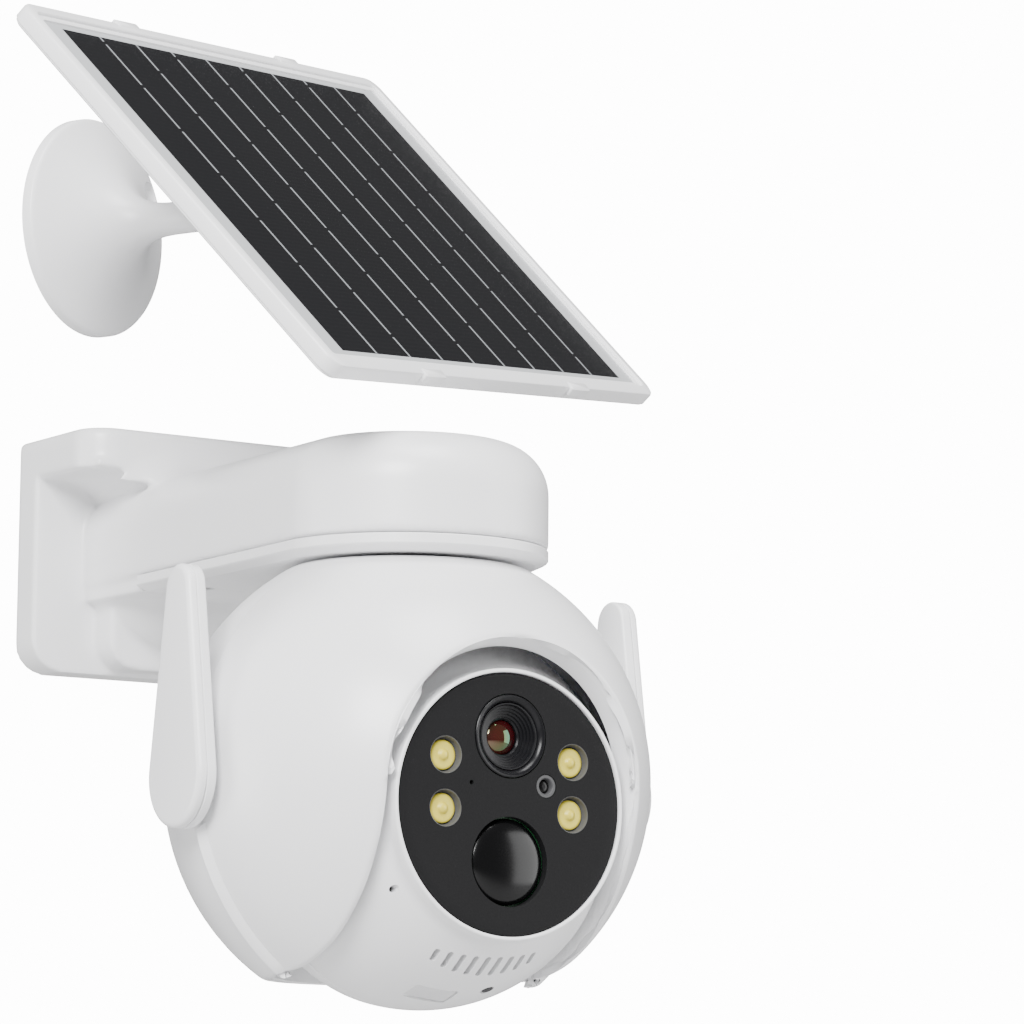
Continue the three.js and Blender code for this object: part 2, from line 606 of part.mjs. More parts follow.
// Small speaker behind the slots, turned to face along their direction.
piece(head, 'speaker', underHead(join(
  rod('z', 11, -44, -41.5, [0, 0], 24), rod('z', 6, -41.6, -37, [0, 0], 24)), SPEAKER_PHI), black);

for (const [side, sign] of [['left', -1], ['right', 1]]) {
  const span = (r, a, b) => rod('x', r, Math.min(sign * a, sign * b), Math.max(sign * a, sign * b));
  piece(head, `tilt_axle_${side}`, join(span(AXLE_R, 30.4, 45.2), span(6, 30.4, 32.3)), steel);
}

piece(head, 'tilt_gear', cut(
  prism('side', gearOutline(TILT_TEETH, 0), 36.8, 40), rod('x', AXLE_R + GAP, 30, 45, [0, 0], 28)), nylon);

// Rubber flap over the card slot: a slice of the head's own surface.
const flapSlice = common(
  cut(sphere(HEAD_R - 0.05), sphere(HEAD_R - 1.4)),
  underHead(box(FLAP_X - 7.1, FLAP_X + 7.1, -3.7, 3.7, -60, -40), FLAP_PHI));
piece(head, 'card_flap', flapSlice, whiteRubber);
piece(head, 'reset_button', underHead(rod('z', 1.5, -51, -47.4, [RESET_X, 0], 20), RESET_PHI), darkRubber);

// ---------------------------------------------------------------- stand and solar panel
const stand = group(camera, STAND_AT, [0, 0, STAND_YAW]);

function standProfile() {
  const flareEnd = -34;
  const steps = 9;
  const flare = Array.from({ length: steps + 1 }, (_, i) => {
    const t = i / steps;
    return [STEM_R + (DISC_R - 1 - STEM_R) * (1 - t) ** 3.4, -DISC_EDGE - 0.4 + (flareEnd + DISC_EDGE) * t];
  });
  const neckEnd = 7.3 - STEM_LENGTH;
  const neck = [[STEM_R, neckEnd + 9.2], [STEM_NECK_R, neckEnd + 7.4], [STEM_NECK_R, neckEnd], [0, neckEnd]];
  return [[0, 0], [DISC_R, 0], [DISC_R, -DISC_EDGE], ...flare, ...neck];
}

piece(stand, 'stand', cut(
  turnedY(standProfile(), 32), rod('y', 4.8, -20, 10, [22.3, 12.9], 20),
  sphere(JOINT_BALL_R + GAP, 20, 12).translate([0, -STEM_LENGTH, 0])), white);

// The ball's node and everything after it are drawn about the ball's centre.
const ballJoint = group(stand, [0, -STEM_LENGTH, 0]);
piece(ballJoint, 'joint_ball', sphere(JOINT_BALL_R, 28, 16), softWhite);

const socketTilt = group(ballJoint, [0, 0, 0], [-PANEL_LIFT, 0, 0]);
const panelTurn = group(socketTilt, [0, 0, 0], [0, -PANEL_SPIN, 0]);
const CUP_R = 13;
const CUP_BACK = 2; // how far the cup reaches behind the ball's centre
const PANEL_BACK = -PANEL_OUT + PANEL_T;

// Cup round the ball with a flange that bears on the panel's back.
function socketBody() {
  const cup = rod('y', CUP_R, PANEL_BACK + 5.6, CUP_BACK, [0, 0], 36);
  const flange = rod('y', 17, PANEL_BACK + 3.4, PANEL_BACK + 6, [0, 0], 36);
  return cut(join(cup, flange), sphere(JOINT_BALL_R + GAP, 28, 16));
}
piece(socketTilt, 'panel_socket', socketBody(), white);
piece(socketTilt, 'clamp_collar', cut(
  prism('front', Array.from({ length: 36 }, (_, i) => {
    const r = i % 4 < 2 ? 16.2 : 15.4;
    const t = (i / 36) * 2 * Math.PI;
    return [r * Math.cos(t), r * Math.sin(t)];
  }), -1.8, 7.5), rod('y', CUP_R + GAP, -20, 20, [0, 0], 36)), white);

// Panel: white frame, back shell, cell sheet and glass, drawn about the ball's centre.
const PANEL_Z = -PANEL_DROP;
const FRONT = -PANEL_OUT;
const panelRect = (inset, corner) => roundedRect(-PANEL_W / 2 + inset, PANEL_W / 2 - inset,
  PANEL_Z - PANEL_H / 2 + inset, PANEL_Z + PANEL_H / 2 - inset, corner, corner);
const slabY = (inset, corner, y0, y1) => prism('front', panelRect(inset, corner), -y1, -y0);
const FRAME_RIM = 9;

piece(panelTurn, 'panel_frame', cut(
  join(slabY(0, 5, FRONT + 0.6, FRONT + PANEL_T - 1.6), slabY(0.6, 4.4, FRONT, FRONT + 2)),
  slabY(FRAME_RIM, 2, FRONT - 1, FRONT + 20), slabY(4, 3, FRONT + 0.9, FRONT + 20)), white);
piece(panelTurn, 'solar_cells', slabY(4.6, 2, FRONT + 2.6, FRONT + 3.4), cells);
piece(panelTurn, 'panel_glass', slabY(4.4, 2, FRONT + 1.2, FRONT + 2.3), clearGlass);

function panelBackBody() {
  const plate = slabY(0.8, 4.5, FRONT + PANEL_T - 1.3, FRONT + PANEL_T);
  const lip = cut(slabY(4.4, 2, FRONT + 3.8, FRONT + PANEL_T - 1), slabY(6.4, 2, FRONT + 3, FRONT + 20));
  const pad = rod('y', 18, PANEL_BACK - 0.2, PANEL_BACK + 2.8, [0, 0], 36);
  return cut(join(plate, lip, pad), rod('y', 4.4, -20, 20, [0, 0], 24));
}
piece(panelTurn, 'panel_back', panelBackBody(), white);
piece(panelTurn, 'spin_pin', join(
  rod('y', 4, PANEL_BACK - 2, PANEL_BACK + 3, [0, 0], 24),
  rod('y', 7, PANEL_BACK - 2.6, PANEL_BACK - 1.6, [0, 0], 28)), steel);

// Junction box low on the back, with the gland that the panel's lead leaves through.
const JUNCTION_Z = PANEL_Z - 22;
piece(panelTurn, 'junction_box', cut(
  box(-20, 20, PANEL_BACK + GAP, PANEL_BACK + 8, JUNCTION_Z - 11, JUNCTION_Z + 11),
  box(-18, 18, PANEL_BACK, PANEL_BACK + 6.2, JUNCTION_Z - 9, JUNCTION_Z + 9),
  rod('z', 2.3, JUNCTION_Z - 20, JUNCTION_Z, [0, PANEL_BACK + 4.2], 20)), white);
piece(panelTurn, 'lead_gland', cut(
  join(rod('z', 2, JUNCTION_Z - 15, JUNCTION_Z - 10, [0, PANEL_BACK + 4.2], 20),
    rod('z', 3.4, JUNCTION_Z - 15, JUNCTION_Z - 11.3, [0, PANEL_BACK + 4.2], 24)),
  rod('z', 1.2, JUNCTION_Z - 20, JUNCTION_Z - 9, [0, PANEL_BACK + 4.2], 16)), darkRubber);

export default camera;
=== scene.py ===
import json
import math

import bmesh
import bpy
import mathutils
import numpy as np
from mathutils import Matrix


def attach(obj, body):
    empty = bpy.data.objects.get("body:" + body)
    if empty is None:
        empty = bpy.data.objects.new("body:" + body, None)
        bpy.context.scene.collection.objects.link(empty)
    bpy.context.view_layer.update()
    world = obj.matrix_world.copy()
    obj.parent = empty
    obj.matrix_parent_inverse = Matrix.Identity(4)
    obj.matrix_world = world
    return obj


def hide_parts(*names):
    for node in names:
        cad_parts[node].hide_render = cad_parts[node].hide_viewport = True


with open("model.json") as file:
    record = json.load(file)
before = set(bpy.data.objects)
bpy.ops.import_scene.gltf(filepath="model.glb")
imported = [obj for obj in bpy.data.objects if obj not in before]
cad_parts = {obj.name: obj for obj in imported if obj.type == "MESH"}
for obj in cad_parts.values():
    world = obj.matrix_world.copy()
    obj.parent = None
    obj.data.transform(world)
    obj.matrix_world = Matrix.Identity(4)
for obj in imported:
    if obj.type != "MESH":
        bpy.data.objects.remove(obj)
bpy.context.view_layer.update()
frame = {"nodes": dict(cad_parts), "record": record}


# ---- Ball housing ----------------------------------------------------------------------------
# The ball that pans under the arm: two moulded white shells that meet in an upright seam behind
# the antennas. An arched opening runs down the front and underneath, with a rounded crest and a
# lip that narrows inwards. The sides are flat where the antennas sit; the shells snap together.
MM = 0.001
BALL_AT = np.array([0, -136.4, -70.2])
BALL_R = 64.4
BALL_SIDE = 62.6
BALL_TOP = 56.6
BALL_BOTTOM = 52.8
ARCH_HALF = 38.3
ARCH_Z = -4.3
SLOT_Y = -3.6
CREST_R = 1.3
LIP_DEPTH = 7.2
LIP_IN = 2.2
SHELL_WALL = 1.9
SEAM = 0.15


def soft_min(value, limit, blend):
    """The smaller of a value and a limit, rounded over a width: value*h + limit*(1-h) - blend*h*(1-h),
    where h goes from 0 to 1 as the value passes the limit."""
    h = np.clip(0.5 + 0.5 * (limit - value) / blend, 0, 1)
    return value * h + limit * (1 - h) - blend * h * (1 - h)


def trimmed(points):
    """Points with x held between the flat sides and z between the flat top and bottom."""
    out = points.copy()
    out[..., 0] = np.sign(points[..., 0]) * soft_min(np.abs(points[..., 0]), BALL_SIDE, 1.2)
    up = soft_min(points[..., 2], BALL_TOP, 1.2)
    out[..., 2] = -soft_min(-up, BALL_BOTTOM, 1.2)
    return out


def opening_loop(half, radius, across=64, along=70):
    """The opening's edge on a sphere: a half circle across the front, a straight side down and
    under the ball, a half circle underneath, and the other side back up."""
    turn = np.linspace(0, np.pi, across + 1)
    front_x, front_z = half * np.cos(turn), ARCH_Z + half * np.sin(turn)
    front = np.stack([front_x, -np.sqrt(radius**2 - front_x**2 - front_z**2), front_z], 1)
    slot_x, slot_y = -half * np.cos(turn), SLOT_Y + half * np.sin(turn)
    slot = np.stack([slot_x, slot_y, -np.sqrt(radius**2 - slot_x**2 - slot_y**2)], 1)
    slice_r = math.sqrt(radius**2 - half**2)
    start = math.asin(ARCH_Z / slice_r)
    end = -math.acos(-SLOT_Y / slice_r)
    down = np.linspace(start, end, along + 1)[1:-1]
    left = np.stack([np.full(along - 1, -half), -slice_r * np.cos(down), slice_r * np.sin(down)], 1)
    right = left[::-1] * [-1, 1, 1]
    return np.concatenate([front, left, slot, right])


def grid_quads(rows, columns, around=False):
    """Quads of a grid whose vertices are numbered row by row; around joins each row's ends."""
    wide = columns if around else columns - 1
    i, j = np.meshgrid(np.arange(rows - 1), np.arange(wide), indexing="ij")
    k = (j + 1) % columns
    row, following = i * columns, (i + 1) * columns
    return np.stack([row + j, row + k, following + k, following + j], -1).reshape(-1, 4)


def ease_ends(count, edge, length):
    """Steps from 0 to 1 that start and end with four short ones, so that a rounded edge has room."""
    near = np.array([0, 0.12, 0.35, 0.65, 1.0]) * edge / length
    middle = np.linspace(near[-1], 1 - near[-1], count)[1:-1]
    return np.concatenate([near, middle, 1 - near[::-1]])


def new_mesh(name, parts, sharp=40, merge=0.004):
    """Mesh from (points in mm, faces) parts, merged where they meet, with its faces turned outwards
    and edges steeper than sharp degrees kept crisp."""
    points, faces, start = [], [], 0
    for part_points, part_faces in parts:
        flat = np.asarray(part_points, float).reshape(-1, 3)
        points.append(flat)
        faces += [(np.asarray(f) + start).tolist() for f in part_faces]
        start += len(flat)
    mesh = bpy.data.meshes.new(name)
    mesh.from_pydata((np.concatenate(points) * MM).tolist(), [], faces)
    merged = bmesh.new()
    merged.from_mesh(mesh)
    bmesh.ops.remove_doubles(merged, verts=merged.verts, dist=merge * MM)
    bmesh.ops.dissolve_degenerate(merged, edges=merged.edges, dist=0.0002 * MM)
    bmesh.ops.recalc_face_normals(merged, faces=merged.faces)
    merged.to_mesh(mesh)
    merged.free()
    shade(mesh, sharp)
    return mesh


def shade(mesh, sharp):
    """Smooth shading, with edges steeper than sharp degrees kept crisp."""
    mesh.polygons.foreach_set("use_smooth", np.ones(len(mesh.polygons), bool))
    mesh.set_sharp_from_angle(angle=math.radians(sharp))
    mesh.update()


def new_piece(name, mesh, material, body, stands_for):
    """The object of a finished mesh, riding on its body in place of the CAD nodes it stands for."""
    piece = bpy.data.objects.new(name, mesh)
    bpy.context.scene.collection.objects.link(piece)
    mesh.materials.clear()
    mesh.materials.append(material)
    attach(piece, body)
    if stands_for:
        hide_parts(*stands_for)
    return piece


def finished(mesh, add_modifiers, sharp=40):
    """The mesh with the modifiers that add_modifiers puts on it applied."""
    bench = bpy.data.objects.new("bench", mesh)
    bpy.context.scene.collection.objects.link(bench)
    helpers = add_modifiers(bench) or []
    bpy.context.view_layer.update()
    result = bpy.data.meshes.new_from_object(bench.evaluated_get(bpy.context.evaluated_depsgraph_get()))
    for thing in [bench, *helpers]:
        bpy.data.objects.remove(thing)
    shade(result, sharp)
    return result


def moulded(name, colour, roughness, grain=900, bump=0.04, cloud=0.02, metallic=0.0, coat=0.0):
    """Finish with a fine grain in its relief, and slow drifts in its colour and roughness."""
    material = bpy.data.materials.new(name)
    material.use_nodes = True
    nodes, links = material.node_tree.nodes, material.node_tree.links
    shader = nodes["Principled BSDF"]
    shader.inputs["Metallic"].default_value = metallic
    shader.inputs["Coat Weight"].default_value = coat
    shader.inputs["Coat Roughness"].default_value = 0.08
    place = nodes.new("ShaderNodeTexCoord")
    fine = nodes.new("ShaderNodeTexNoise")
    fine.inputs["Scale"].default_value = grain
    fine.inputs["Detail"].default_value = 3
    slow = nodes.new("ShaderNodeTexNoise")
    slow.inputs["Scale"].default_value = 22
    slow.inputs["Detail"].default_value = 2
    for noise in (fine, slow):
        links.new(place.outputs["Object"], noise.inputs["Vector"])
    tint = nodes.new("ShaderNodeMix")
    tint.data_type = "RGBA"
    tint.inputs["A"].default_value = (*[c * (1 - cloud) for c in colour], 1)
    tint.inputs["B"].default_value = (*[min(1, c * (1 + cloud)) for c in colour], 1)
    links.new(slow.outputs["Fac"], tint.inputs["Factor"])
    links.new(tint.outputs["Result"], shader.inputs["Base Color"])
    gloss = nodes.new("ShaderNodeMapRange")
    gloss.inputs["To Min"].default_value = max(0.02, roughness - 0.05)
    gloss.inputs["To Max"].default_value = roughness + 0.05
    links.new(slow.outputs["Fac"], gloss.inputs["Value"])
    links.new(gloss.outputs["Result"], shader.inputs["Roughness"])
    relief = nodes.new("ShaderNodeBump")
    relief.inputs["Strength"].default_value = bump
    relief.inputs["Distance"].default_value = 0.0002
    links.new(fine.outputs["Fac"], relief.inputs["Height"])
    links.new(relief.outputs["Normal"], shader.inputs["Normal"])
    return material


white_case = moulded("white_case", (0.83, 0.83, 0.84), 0.32)
opening_edge = opening_loop(ARCH_HALF, BALL_R, 200, 260)


def crested(points):
    """Ball points sunk towards the centre by r - sqrt(r^2 - (r-d)^2), where d is the distance to the
    opening's edge and r the crest's radius, which rounds the edge over."""
    flat = points.reshape(-1, 3)
    reach = np.linalg.norm(flat[:, None, :] - opening_edge[None, ::2, :], axis=2).min(1)
    inside = np.clip(CREST_R - reach, 0, CREST_R)
    sink = CREST_R - np.sqrt(CREST_R**2 - inside**2)
    length = np.linalg.norm(flat, axis=1)
    return (flat * (1 - sink / length)[:, None]).reshape(points.shape)


def slice_angles(x):
    """Where the opening's two ends cut the ball's slice at x: angles from straight ahead, over the
    top, to the front edge and to the edge underneath."""
    slice_r = np.sqrt(BALL_R**2 - x**2)
    rise = np.sqrt(np.maximum(ARCH_HALF**2 - x**2, 0))
    return np.arcsin((ARCH_Z + rise) / slice_r), 2 * np.pi - np.arccos(-(SLOT_Y + rise) / slice_r)


def ball_points(x, angle):
    """Sphere point at x and at an angle from straight ahead over the top, in the ball's frame."""
    slice_r = np.sqrt(np.maximum(BALL_R**2 - x**2, 0))
    return np.stack([x, -slice_r * np.cos(angle), slice_r * np.sin(angle)], -1)


def shell_surface(rear):
    """Outer surface of one shell: columns across in x, rows round the ball from the seam."""
    across = ARCH_HALF * np.sin(np.linspace(-np.pi / 2, np.pi / 2, 97))
    to_front, to_slot = slice_angles(across)
    over = np.pi / 2
    steps = ease_ends(44, CREST_R, 50)[:, None]
    slip = (SEAM / BALL_R) * (1 if rear else -1)
    middle = (over + slip) + steps * ((to_slot if rear else to_front) - over - slip)
    parts = [(crested(ball_points(np.broadcast_to(across, middle.shape), middle)), middle.shape)]
    side_in, side_slot = slice_angles(np.array([ARCH_HALF]))
    edge_angle = side_slot[0] if rear else side_in[0]
    under = 1.5 * np.pi if rear else -0.5 * np.pi
    beyond = np.linspace(edge_angle, under + slip * (1 if rear else -1), 34)[1:]
    turn = np.concatenate([middle[:, 0], beyond])
    wide = np.arccos(ARCH_HALF / BALL_R)
    lean = wide * (1 - ease_ends(26, CREST_R, 40))
    for side in (-1, 1):
        x = side * BALL_R * np.cos(lean)
        xs, turns = np.meshgrid(x, turn)
        parts.append((crested(ball_points(xs, turns)), xs.shape))
    return [(trimmed(points), grid_quads(*shape)) for points, shape in parts]


def lip_rings():
    """Closed loops that carry the opening inwards: each lies on a smaller sphere, and its half width
    shrinks with a power of the depth in front and not at all underneath, where the head swings by."""
    loops = []
    edge = opening_loop(ARCH_HALF, BALL_R, 96, 90)
    ahead = np.clip((-edge[:, 1:2] - 5) / 30, 0, 1)
    narrowing = ahead * ahead * (3 - 2 * ahead)
    for depth in np.concatenate([[CREST_R], np.linspace(CREST_R, LIP_DEPTH, 9)[1:]]):
        share = (depth - CREST_R) / (LIP_DEPTH - CREST_R)
        straight = trimmed(opening_loop(ARCH_HALF, BALL_R - depth, 96, 90))
        drawn_in = trimmed(opening_loop(ARCH_HALF - LIP_IN * share**0.7, BALL_R - depth, 96, 90))
        loops.append(straight + (drawn_in - straight) * narrowing)
    return np.array(loops)


def shell_piece(name, rear, cad_node):
    """One shell: its surface, its share of the lip on its side of the seam, and a wall."""
    loops = lip_rings()
    kept = loops[0, :, 1] > SEAM if rear else loops[0, :, 1] < -SEAM
    quads = grid_quads(*loops.shape[:2], around=True)
    on_side = kept[quads % loops.shape[1]].all(1)
    parts = shell_surface(rear) + [(loops, quads[on_side])]
    mesh = new_mesh(name, [(np.asarray(p) + BALL_AT, q) for p, q in parts], sharp=50, merge=0.06)

    def wall(bench):
        solid = bench.modifiers.new("wall", "SOLIDIFY")
        solid.thickness = SHELL_WALL * MM
        solid.offset = -1

    return new_piece(name, finished(mesh, wall, 50), white_case, "pan_housing", [cad_node])


shell_piece("ball_front", False, "ball_front_shell")
shell_piece("ball_rear", True, "ball_rear_shell")


# ---- Wall bracket and arm --------------------------------------------------------------------
# One large white moulding: a square foot with a hood over it, hollow scoops at both sides, a
# rounded gusset, and the arm that runs out to a round cap over the pan drive. It hangs on a
# steel wall plate; a thin lower cover screwed in from below closes the arm.
ARM_HALF = 31.6
PAN_Y = -136.4
CAP_R = 36.9
ARM_TOP = 20
ARM_FILLET = 14
FOOT_HALF = 47.5
FOOT_TOP = 33.3
HOOD_DEPTH = 43.4
COVER_START = -46.3


def arc_points(centre, radius, start, end, steps):
    """Points of an arc in degrees, both ends included."""
    t = np.radians(np.linspace(start, end, steps + 1))
    return np.stack([centre[0] + radius * np.cos(t), centre[1] + radius * np.sin(t)], 1)


def rounded_rectangle(x0, x1, y0, y1, lower, upper, steps=10):
    """Rectangle whose lower and upper pairs of corners are rounded."""
    return np.concatenate([
        arc_points((x0 + lower, y0 + lower), lower, 180, 270, steps),
        arc_points((x1 - lower, y0 + lower), lower, 270, 360, steps),
        arc_points((x1 - upper, y1 - upper), upper, 0, 90, steps),
        arc_points((x0 + upper, y1 - upper), upper, 90, 180, steps),
    ])


def arm_outline(inset, wall_end, steps=96):
    """Plan of the arm: the cap's circle, and two straight sides tangent to it, shrunk by inset."""
    lean = math.atan2(-PAN_Y, ARM_HALF) - math.acos(CAP_R / math.hypot(ARM_HALF, PAN_Y))
    side = (CAP_R - inset + (PAN_Y - wall_end) * math.sin(lean)) / math.cos(lean)
    cap = arc_points((0, PAN_Y), CAP_R - inset, -math.degrees(lean), math.degrees(lean) - 180, steps)
    along = np.linspace(0, 1, 24)[:-1, None]
    right = np.array([[side, wall_end]]) * (1 - along) + cap[:1] * along
    left = (right * [-1, 1])[::-1]
    return np.concatenate([right, cap, left])


def stacked(rings):
    """Closed solid skinned through loops of equal count, with its two end loops filled."""
    rings = np.asarray(rings, float)
    count, around = rings.shape[:2]
    ends = [list(range(around)), list(range((count - 1) * around, count * around))]
    return rings, [*grid_quads(count, around, around=True).tolist(), *ends]


def at_height(plan, z):
    """Plan points at one height."""
    return np.column_stack([plan, np.full(len(plan), z)])


def upright(outline, y):
    """Front-view points (x, z) at one distance y."""
    return np.column_stack([outline[:, 0], np.full(len(outline), y), outline[:, 1]])


def front_prism(outline, y0, y1):
    """Front-view outline (x, z) carried along y."""
    return stacked([upright(outline, y) for y in (y0, y1)])


def ellipsoid(centre, radii, columns=64, rows=33):
    """Closed ellipsoid: centre plus radii times the unit sphere's point at each angle pair."""
    around = np.linspace(0, 2 * np.pi, columns, endpoint=False)
    lon, lat = np.meshgrid(around, np.linspace(-np.pi / 2, np.pi / 2, rows))
    unit = np.stack([np.cos(lat) * np.cos(lon), np.cos(lat) * np.sin(lon), np.sin(lat)], -1)
    return unit * radii + centre, grid_quads(rows, columns, around=True)


def carve(bench, cutter_parts):
    """Adds a Boolean that takes the cutter's closed parts out of the mesh."""
    tool = bpy.data.objects.new("cut", new_mesh("cut", cutter_parts))
    bpy.context.scene.collection.objects.link(tool)
    cut = bench.modifiers.new("cut", "BOOLEAN")
    cut.operation = "DIFFERENCE"
    cut.solver = "EXACT"
    cut.use_self = True
    cut.object = tool
    return tool


def fused(parts, voxel, passes):
    """Overlapping closed parts made one skin: sampled on a fine grid and smoothed, which rounds its
    edges and inner corners as a mould does."""

    def build(bench):
        first = bench.modifiers.new("skin", "REMESH")
        first.mode = "VOXEL"
        first.voxel_size = voxel * MM
        soften = bench.modifiers.new("soften", "SMOOTH")
        soften.factor = 0.5
        soften.iterations = passes

    return finished(new_mesh("blank", parts), build, 60)


def arm_levels():
    """Heights and insets of the arm's section: straight sides, then a quarter round to the top."""
    turn = np.linspace(0, np.pi / 2, 14)
    rounds = np.stack([ARM_FILLET * (1 - np.cos(turn)), ARM_TOP - ARM_FILLET + ARM_FILLET * np.sin(turn)], 1)
    return np.concatenate([[[0, -8.3]], rounds])


def hood_collar():
    """Hollow fillet from the hood's front face down to the arm's top: the arm's upper section grown
    by r - sqrt(r^2 - (r-d)^2) at a distance d in front of the face."""
    radius, rings = 9.0, []
    for d in np.linspace(radius, -1, 12):
        grow = radius - math.sqrt(max(radius**2 - (radius - max(d, 0)) ** 2, 0))
        start = math.degrees(math.asin(12 / (ARM_FILLET + grow)))
        half = ARM_HALF + 0.9 - ARM_FILLET
        right = arc_points((half, 6), ARM_FILLET + grow, start, 90, 16)
        outline = np.concatenate([right, (right * [-1, 1])[::-1]])
        rings.append(upright(outline, -HOOD_DEPTH - d))
    return stacked(rings)


def scoop_fillet(side):
    """Hollow fillet between the scoop's ceiling and the middle block: a quarter ellipse whose height
    falls in a straight line to nothing at the hood's front edge."""
    rings = []
    for y, height in ((-10, 11.0), (-43.2, 0.4)):
        quarter = arc_points((0, 0), 1.0, 180, 90, 16)
        hollow = np.column_stack([44.5 + 17 * quarter[:, 0], 21.9 - height + height * quarter[:, 1]])
        outline = np.concatenate([hollow, [[44.5, 24], [25, 24], [25, 21.9 - height]]])
        rings.append(np.column_stack([side * outline[:, 0], np.full(len(outline), y), outline[:, 1]]))
    return stacked(rings)


def bracket_parts():
    """The bracket's overlapping solids: hood, foot, middle block, gusset, arm and fillets."""
    def hood_plan(inset):
        front = -HOOD_DEPTH + 10
        right = arc_points((FOOT_HALF - 10, front), 10 - inset, 0, -90, 14)
        left = (right * [-1, 1])[::-1]
        return np.concatenate([[[FOOT_HALF - inset, 0]], right, left, [[-FOOT_HALF + inset, 0]]])

    edge = 2.2
    round_top = [(edge * (1 - math.cos(t)), FOOT_TOP - edge + edge * math.sin(t))
                 for t in np.linspace(0, np.pi / 2, 6)]
    hood = stacked([at_height(hood_plan(i), z) for i, z in [(0, 21.5), *round_top]])
    foot = front_prism(rounded_rectangle(-FOOT_HALF, FOOT_HALF, -33.3, 31, 9.5, 2), 0, -12)
    block = front_prism(rounded_rectangle(-28, 28, -32.3, 23, 8.5, 1), -0.5, -22.6)
    gusset_points, gusset_quads = ellipsoid((0, -16, -6), (31, 29, 23))
    gusset_points[..., 1] = np.minimum(gusset_points[..., 1], -1)
    slab = front_prism(rounded_rectangle(-ARM_HALF, ARM_HALF, -12.9, 2, 0.5, 0.5, 2), -5, COVER_START + 0.3)
    arm = stacked([at_height(arm_outline(i, -5), z) for i, z in arm_levels()])
    return [hood, foot, block, (gusset_points, gusset_quads), slab, arm, hood_collar(),
            scoop_fillet(1), scoop_fillet(-1)]


def bracket_piece():
    """The fused skin with the wall plate's pocket and the lock screw's hole cut out of it."""
    skin = fused(bracket_parts(), 0.85, 6)

    def pocket(bench):
        hollow = front_prism(rounded_rectangle(-44, 44, -30, 30, 7, 4), 3, -9.5)
        ring = arc_points((0, -5.6), 3.6, 0, 345, 23)
        screw_hole = stacked([at_height(ring, -36), at_height(ring, -31.3)])
        return [carve(bench, [hollow]), carve(bench, [screw_hole])]

    mesh = finished(skin, pocket, 50)
    return new_piece("bracket", mesh, white_case, "mount", ["mount_bracket"])


def arm_cover_piece():
    """Lower cover: the arm's plan in six levels, with a slanting chamfer round its underside."""
    levels = [(3.4, -12.9), (3.1, -12.8), (0.7, -11.7), (0.25, -11.45), (0, -11.1), (0, -8.9), (0.3, -8.6)]
    body = stacked([at_height(arm_outline(i, COVER_START), z) for i, z in levels])

    def holes(bench):
        rings = [arc_points((x, -62), 2.6, 0, 345, 23) for x in (-20, 20)]
        return [carve(bench, [stacked([at_height(r, -14), at_height(r, -11.3)]) for r in rings])]

    mesh = finished(new_mesh("arm_cover", [body], 35), holes, 35)
    return new_piece("arm_cover", mesh, white_case, "mount", ["arm_lower_cover"])


bracket_piece()
arm_cover_piece()


# ---- Antennas --------------------------------------------------------------------------------
# Two flat paddles on pivots at the ball's sides, wide and round at the foot, narrow at the tip.
# Each is an inner and an outer white half pressed together, which leaves a thin dark line.
ANTENNA_PIVOT = (-135.9, -72.0)
FOOT_R = 13.7
TIP_R = 6.2
ANTENNA_LENGTH = 48.4


def paddle_rings(levels, side):
    """Loops of the paddle's outline, each shrunk by its inset and placed at its distance out."""
    lean = math.degrees(math.asin((FOOT_R - TIP_R) / ANTENNA_LENGTH))
    rings = []
    for inset, x in levels:
        foot = arc_points(ANTENNA_PIVOT, FOOT_R - inset, 180 - lean, 360 + lean, 56)
        tip_at = (ANTENNA_PIVOT[0], ANTENNA_PIVOT[1] + ANTENNA_LENGTH)
        tip = arc_points(tip_at, TIP_R - inset, lean, 180 - lean, 32)
        outline = np.concatenate([foot, tip])
        rings.append(np.column_stack([np.full(len(outline), side * x), outline]))
    return stacked(rings)


def rounded_levels(edge, face, radius):
    """Insets and heights of a quarter round from an edge height to a face height."""
    turn = np.linspace(0, np.pi / 2, 8)
    return [(radius * (1 - math.cos(t)), edge + (face - edge) * math.sin(t)) for t in turn]


for side, word in ((-1, "left"), (1, "right")):
    inner_levels = [(0.5, 68.05), (0.5, 67.8), (0.25, 67.8), (0.0, 67.6), *rounded_levels(65.9, 65.1, 0.8)]
    cover_levels = [(0.25, 68.1), (0, 68.3), *rounded_levels(69.0, 70.6, 1.7)]
    hub = np.stack([np.column_stack([np.full(48, side * x), arc_points(ANTENNA_PIVOT, r, 0, 352.5, 47)])
                    for x, r in ((57.4, 7.4), (59.5, 7.4), (59.5, 6.0), (66.0, 6.0))])
    inner_parts = [paddle_rings(inner_levels, side), stacked(hub)]
    new_piece(f"antenna_{word}_back", new_mesh("antenna", inner_parts, 35),
              white_case, f"antenna_{word}", [f"antenna_{word}_inner"])
    new_piece(f"antenna_{word}_front", new_mesh("antenna", [paddle_rings(cover_levels, side)], 35),
              white_case, f"antenna_{word}", [f"antenna_{word}_cover"])


# ---- Head shells -----------------------------------------------------------------------------
# The part that tilts: a white ball with flat cheeks, a raised ring round the face, a row of
# speaker slots, a microphone hole and a card flap underneath. Two mouldings that meet at a seam.
HEAD_AT = np.array([0, -142.9, -79.0])
HEAD_R = 51.5
HEAD_HALF = 35
RING_R = 34.8
PLATE_R = 33.5
PLATE_FRONT = -42.9


